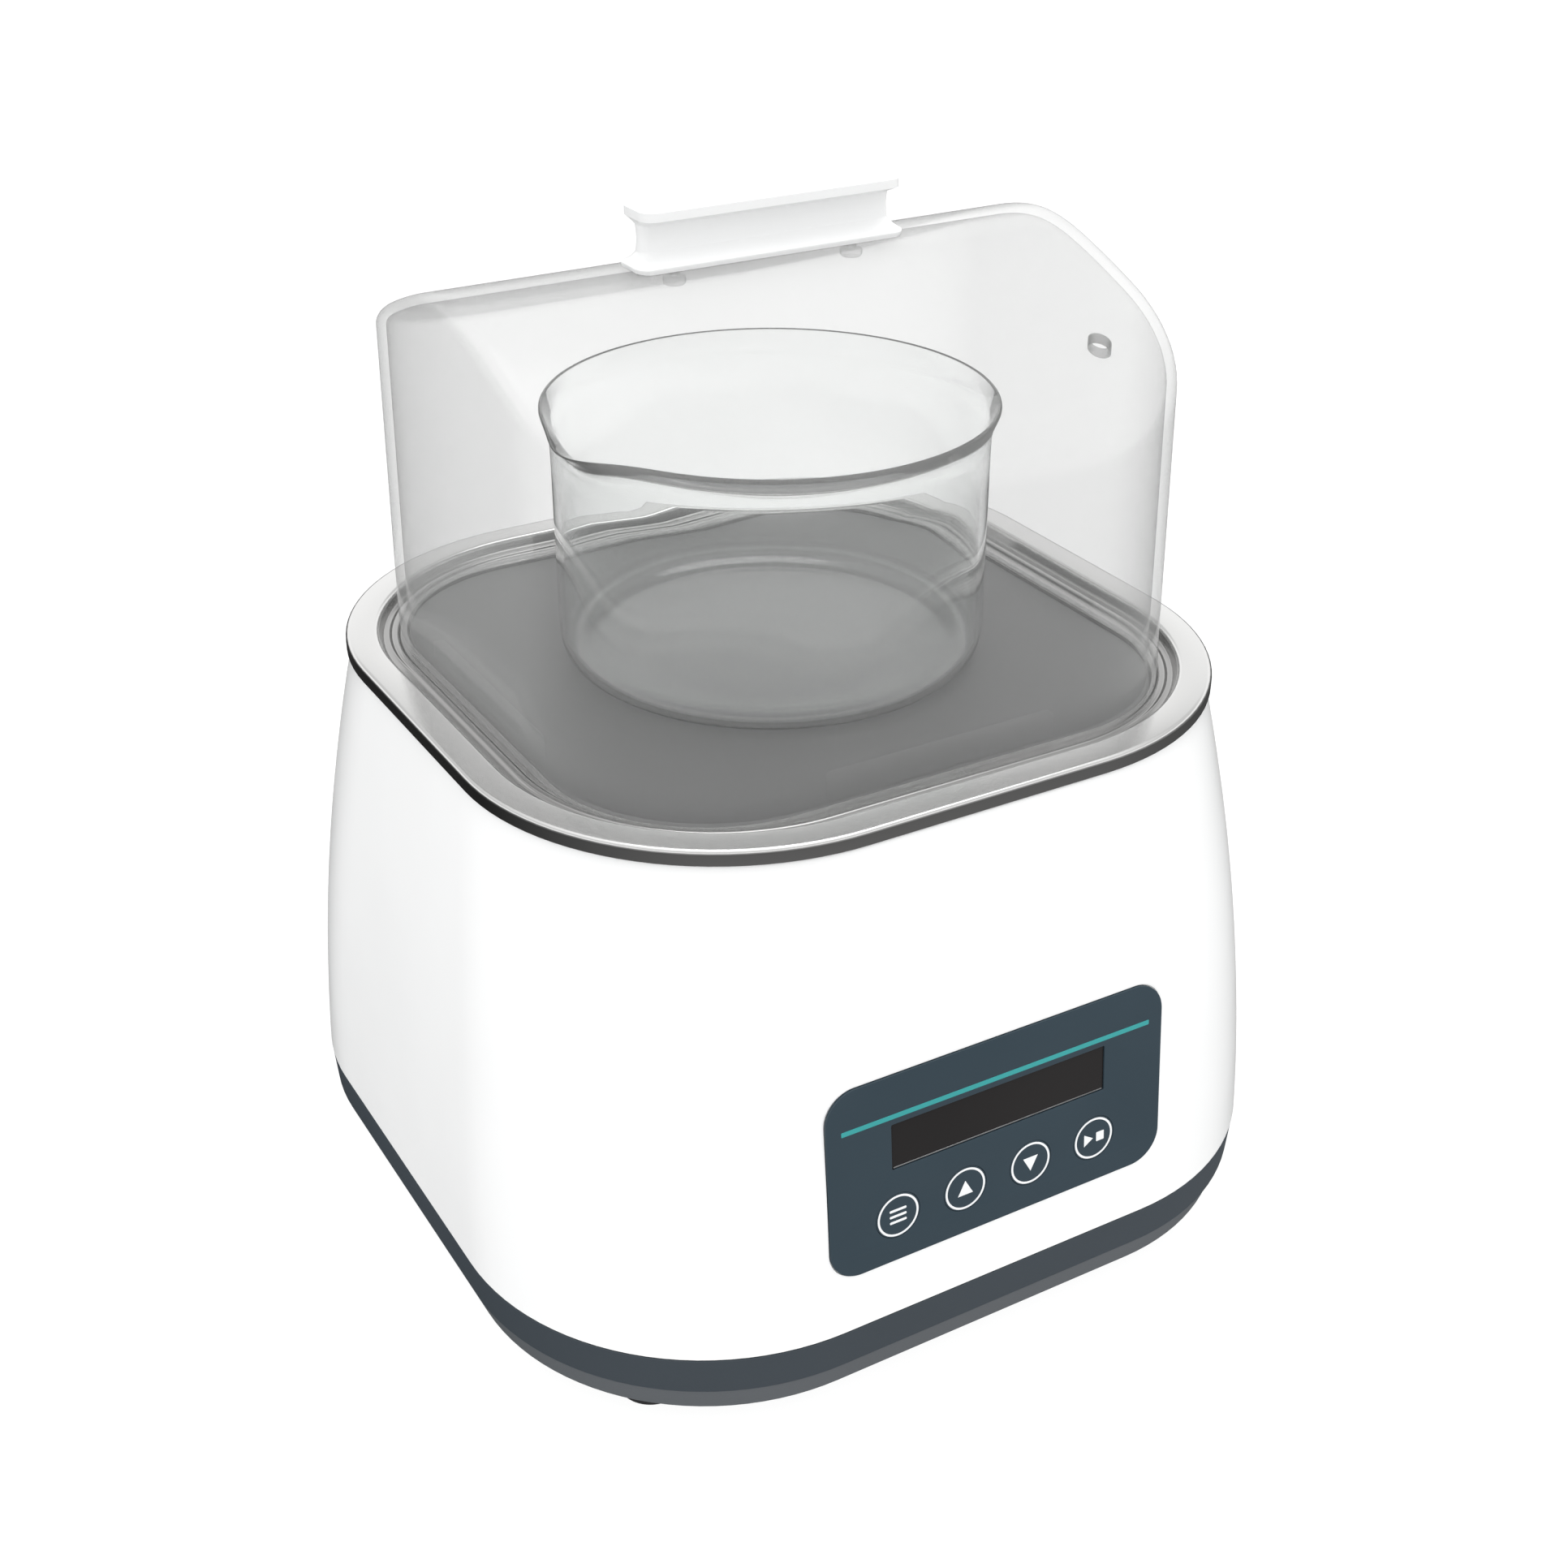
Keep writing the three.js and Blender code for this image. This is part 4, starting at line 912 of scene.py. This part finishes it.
# ---------------------------------------------------------------- stage
def floor():
    far = 30.0
    corners = [(-far, -far, 0), (far, -far, 0), (far, far, 0), (-far, far, 0)]
    piece = mesh_object("floor", corners, [(0, 1, 2, 3)])
    look = Look("floor_white", Roughness=0.7)
    look.mottle(look.noise(3), (0.1, 0.1, 0.1), 0.01)
    look.shader.inputs["Emission Color"].default_value = (1, 1, 1, 1)
    look.shader.inputs["Emission Strength"].default_value = 0.94
    piece.data.materials.append(look.material)
    piece.visible_glossy = False


def ramp(nodes, stops):
    """Colour ramp through grey stops of (height from -1 to 1, brightness)."""
    made = nodes.new("ShaderNodeValToRGB")
    elements = made.color_ramp.elements
    while len(elements) < len(stops):
        elements.new(0.5)
    for element, (height, grey) in zip(elements, stops):
        element.position = (height + 1) / 2
        element.color = (grey, grey, grey, 1)
    return made


def world():
    """A white studio. Diffuse light comes from all round, and gloss sees soft boxes over dark low walls."""
    studio = bpy.data.worlds.new("studio")
    bpy.context.scene.world = studio
    studio.use_nodes = True
    nodes, links = studio.node_tree.nodes, studio.node_tree.links
    nodes.clear()

    def span(source, low, high, start, end):
        made = nodes.new("ShaderNodeMapRange")
        for key, value in (("From Min", start), ("From Max", end), ("To Min", low), ("To Max", high)):
            made.inputs[key].default_value = value
        links.new(source, made.inputs["Value"])
        return made.outputs["Result"]

    def background(color, strength):
        made = nodes.new("ShaderNodeBackground")
        made.inputs["Strength"].default_value = strength
        links.new(color, made.inputs["Color"])
        return made.outputs["Background"]

    place = nodes.new("ShaderNodeTexCoord")
    split = nodes.new("ShaderNodeSeparateXYZ")
    links.new(place.outputs["Generated"], split.inputs["Vector"])
    level = span(split.outputs["Z"], 0.0, 1.0, -1.0, 1.0)
    soft = ramp(nodes, [(-1.0, 0.7), (0.0, 0.72), (0.4, 0.86), (1.0, 0.96)])
    boxes = ramp(nodes, [(-1.0, 0.3), (-0.25, 0.18), (0.05, 0.3), (0.25, 0.9), (0.38, 1.0), (0.43, 1.0),
                         (0.49, 0.52), (0.56, 0.56), (0.75, 0.75), (0.9, 1.0)])
    left = span(split.outputs["X"], 0.98, 1.0, -1.0, 0.4)
    behind = span(split.outputs["Y"], 1.0, 0.12, -0.7, 0.7)
    low_only = span(split.outputs["Z"], 0.0, 1.0, -0.1, 0.2)
    darker = nodes.new("ShaderNodeMix")
    links.new(low_only, darker.inputs["Factor"])
    links.new(behind, darker.inputs["A"])
    darker.inputs["B"].default_value = 1.0
    colors = []
    for made, factor in ((soft, left), (boxes, darker.outputs["Result"])):
        links.new(level, made.inputs["Fac"])
        product = nodes.new("ShaderNodeVectorMath")
        product.operation = "SCALE"
        links.new(made.outputs["Color"], product.inputs["Vector"])
        links.new(factor, product.inputs["Scale"])
        colors.append(product.outputs["Vector"])
    white = nodes.new("ShaderNodeRGB")
    white.outputs["Color"].default_value = (1, 1, 1, 1)
    path = nodes.new("ShaderNodeLightPath")
    gloss_or_soft = nodes.new("ShaderNodeMixShader")
    links.new(path.outputs["Is Glossy Ray"], gloss_or_soft.inputs["Fac"])
    links.new(background(colors[0], 1.38), gloss_or_soft.inputs[1])
    links.new(background(colors[1], 1.5), gloss_or_soft.inputs[2])
    seen_or_lit = nodes.new("ShaderNodeMixShader")
    links.new(path.outputs["Is Camera Ray"], seen_or_lit.inputs["Fac"])
    links.new(gloss_or_soft.outputs["Shader"], seen_or_lit.inputs[1])
    links.new(background(white.outputs["Color"], 1.03), seen_or_lit.inputs[2])
    out = nodes.new("ShaderNodeOutputWorld")
    links.new(seen_or_lit.outputs["Shader"], out.inputs["Surface"])


def lamp(name, spot, aim, size, watts):
    light = bpy.data.lights.new(name, "AREA")
    light.shape = "DISK"
    light.size = size
    light.energy = watts
    holder = bpy.data.objects.new(name, light)
    holder.location = spot
    holder.rotation_euler = (Vector(aim) - Vector(spot)).to_track_quat("-Z", "Y").to_euler()
    bpy.context.scene.collection.objects.link(holder)


def camera():
    """From the front left, a little above the hood's crest."""
    lens = bpy.data.cameras.new("camera")
    lens.sensor_width = 36
    lens.lens = 49.48
    lens.clip_start = 0.01
    holder = bpy.data.objects.new("camera", lens)
    holder.location = (-0.3125, -0.5440, 0.4816)
    aim = Vector((0.0036, -0.0021, 0.1328))
    holder.rotation_euler = (aim - holder.location).to_track_quat("-Z", "Y").to_euler()
    bpy.context.scene.collection.objects.link(holder)
    bpy.context.scene.camera = holder


camera()
housing()
base()
feet()
tank()
tray()
dish()
hood()
handle()
panel()
keys()
carried_nodes()
floor()
world()
lamp("overhead", (0.25, 0.1, 1.6), (0, 0, 0.1), 1.2, 9)
bpy.context.scene.view_settings.view_transform = "Standard"
